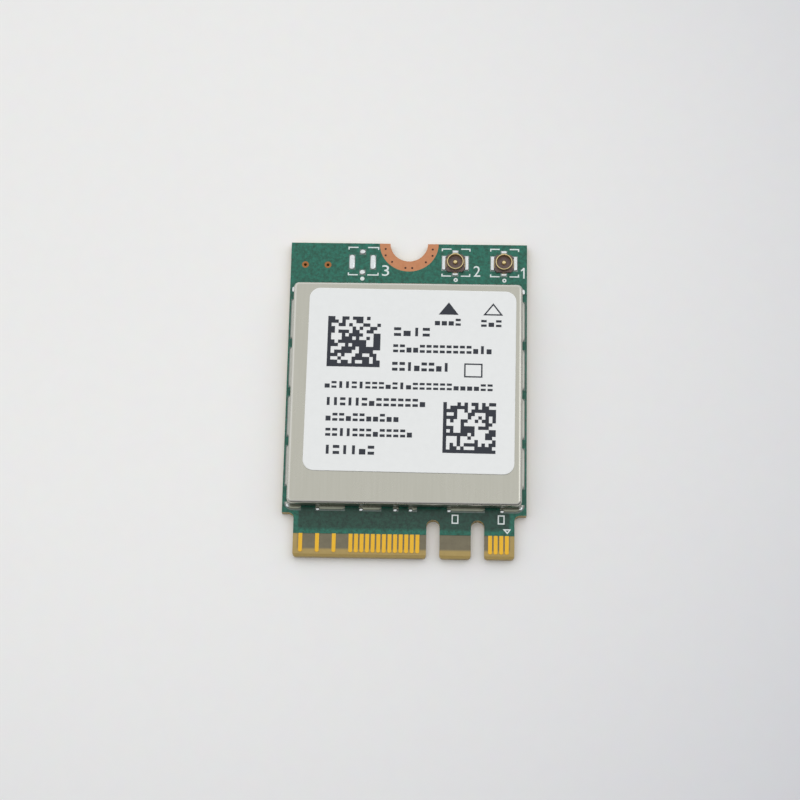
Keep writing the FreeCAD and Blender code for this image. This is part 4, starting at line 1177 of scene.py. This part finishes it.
def add_mark(bm, x_ends, y_ends):
    """A thin block of ink on the lacquer, with its two ends each way in any order."""
    add_block(bm, min(x_ends), max(x_ends), min(y_ends), max(y_ends), BOARD_TOP, INK_TOP)


def add_bracket(bm, outer, inner, edge, way):
    """A stroke along a frame's edge with a short tick at its outer end; way is 1 or -1, into the frame."""
    stroke_end = edge + way * MARK_STROKE
    tick_side = outer + math.copysign(MARK_STROKE, inner - outer)
    add_mark(bm, (outer, inner), (edge, stroke_end))
    add_mark(bm, (outer, tick_side), (stroke_end, edge + way * TICK))


bm = bmesh.new()
for left, right_end, front, back, inner_left, inner_right in FRAMES:
    for outer, inner in ((left, inner_left), (right_end, inner_right)):
        add_bracket(bm, outer, inner, back, -1)
        add_bracket(bm, outer, inner, front, 1)
print("brackets", len(bm.faces), "faces")

# %% Numbers
# Each number: sign, left, right, front and back
NUMBERS = [("3", -2.50, -1.83, 11.78, 12.84), ("2", 6.03, 6.66, 11.81, 12.87)]
# The font's own 1 is a plain bar, so this one is drawn: a stem with a flag, from its foot round
NUMBER_1 = [
    (10.65, 11.69), (10.78, 11.69), (10.78, 12.75), (10.68, 12.75),
    (10.44, 12.53), (10.44, 12.39), (10.65, 12.50),
]


def add_number(bm, sign, left, right_end, front, back):
    """A numeral from Blender's own font, fitted into a box and raised to the ink's height."""
    curve = bpy.data.curves.new("numeral", "FONT")
    curve.body = sign
    holder = bpy.data.objects.new("numeral", curve)
    scene.collection.objects.link(holder)
    shape = bpy.data.meshes.new_from_object(holder.evaluated_get(bpy.context.evaluated_depsgraph_get()))
    bpy.data.objects.remove(holder)
    flat = bmesh.new()
    flat.from_mesh(shape)
    bmesh.ops.remove_doubles(flat, verts=flat.verts, dist=MERGE_DISTANCE)
    low = Vector([min(vert.co[axis] for vert in flat.verts) for axis in range(2)])
    high = Vector([max(vert.co[axis] for vert in flat.verts) for axis in range(2)])
    size = ((right_end - left) / (high.x - low.x), (back - front) / (high.y - low.y), 1)
    bmesh.ops.translate(flat, vec=(-low.x, -low.y, 0), verts=flat.verts)
    bmesh.ops.scale(flat, vec=size, verts=flat.verts)
    bmesh.ops.translate(flat, vec=(left, front, BOARD_TOP), verts=flat.verts)
    raise_flat(flat, flat.faces[:], INK_TOP - BOARD_TOP)
    flat.to_mesh(shape)
    flat.free()
    bm.from_mesh(shape)
    bpy.data.meshes.remove(shape)


for number in NUMBERS:
    add_number(bm, *number)
add_outline(bm, NUMBER_1, BOARD_TOP, INK_TOP)
print("brackets and numbers", len(bm.faces), "faces")

# %% Dots, arrow and key marks
ARROW = [(8.87, -12.28), (9.29, -12.74), (9.63, -12.28)]
ARROW_STROKE = 0.11
DOT_RADIUS = 0.2
DOT_HOLE = 0.07
DOT = [(0, INK_TOP), (DOT_RADIUS, INK_TOP), (DOT_RADIUS, BOARD_TOP), (0, BOARD_TOP)]
RING_DOT = [(DOT_HOLE, BOARD_TOP), (DOT_RADIUS, BOARD_TOP), (DOT_RADIUS, INK_TOP), (DOT_HOLE, INK_TOP)]
RING_DOT_SPOTS = [(4.38, 11.46), (8.90, 11.46)]
DOT_SPOT = (-4.31, 11.48)
# Left and right of the mark above each key notch
KEY_MARKS = [(4.28, 4.90), (8.42, 9.04)]
KEY_MARK_FRONT = -11.85
KEY_MARK_BACK = -11.0
add_outline(bm, ARROW, BOARD_TOP, INK_TOP, ARROW_STROKE)
spin_outline(bm, DOT, *DOT_SPOT, steps=24, closed=False)
for x, y in RING_DOT_SPOTS:
    spin_outline(bm, RING_DOT, x, y, steps=24)
for left, right_end in KEY_MARKS:
    box = [(left, KEY_MARK_FRONT), (right_end, KEY_MARK_FRONT)]
    box += [(right_end, KEY_MARK_BACK), (left, KEY_MARK_BACK)]
    add_outline(bm, box, BOARD_TOP, INK_TOP, MARK_STROKE)
finish_piece(bm, "board_marks", marking_ink)

# %% [markdown]
# ## Plated holes in the copper ring
# Eight small plated holes stitch the copper ring to the ground sheets inside the board.
# They are a fifth of a millimetre wide, so cutting them would show nothing more than a dot.
# A dark, flat disc on the copper is painted shade that reads as a hole.

# %% Holes of the ring
NOTCH_Y = 15.0
# Each pair of holes: distance from the notch's middle, and angle from the middle line in degrees
HOLE_PAIRS = [(2.42, 7.5), (2.40, 41), (2.48, 62), (2.26, 76.5)]
HOLE_RADIUS = 0.1
HOLE_TOP = BOARD_TOP + 0.004
DISC = [(0, HOLE_TOP), (HOLE_RADIUS, HOLE_TOP), (HOLE_RADIUS, BOARD_TOP), (0, BOARD_TOP)]
bm = bmesh.new()
for reach, angle in HOLE_PAIRS:
    for side in (1, -1):
        x = side * reach * math.sin(math.radians(angle))
        y = NOTCH_Y - reach * math.cos(math.radians(angle))
        spin_outline(bm, DISC, x, y, steps=16, closed=False)
finish_piece(bm, "ring_holes", hole_shade)
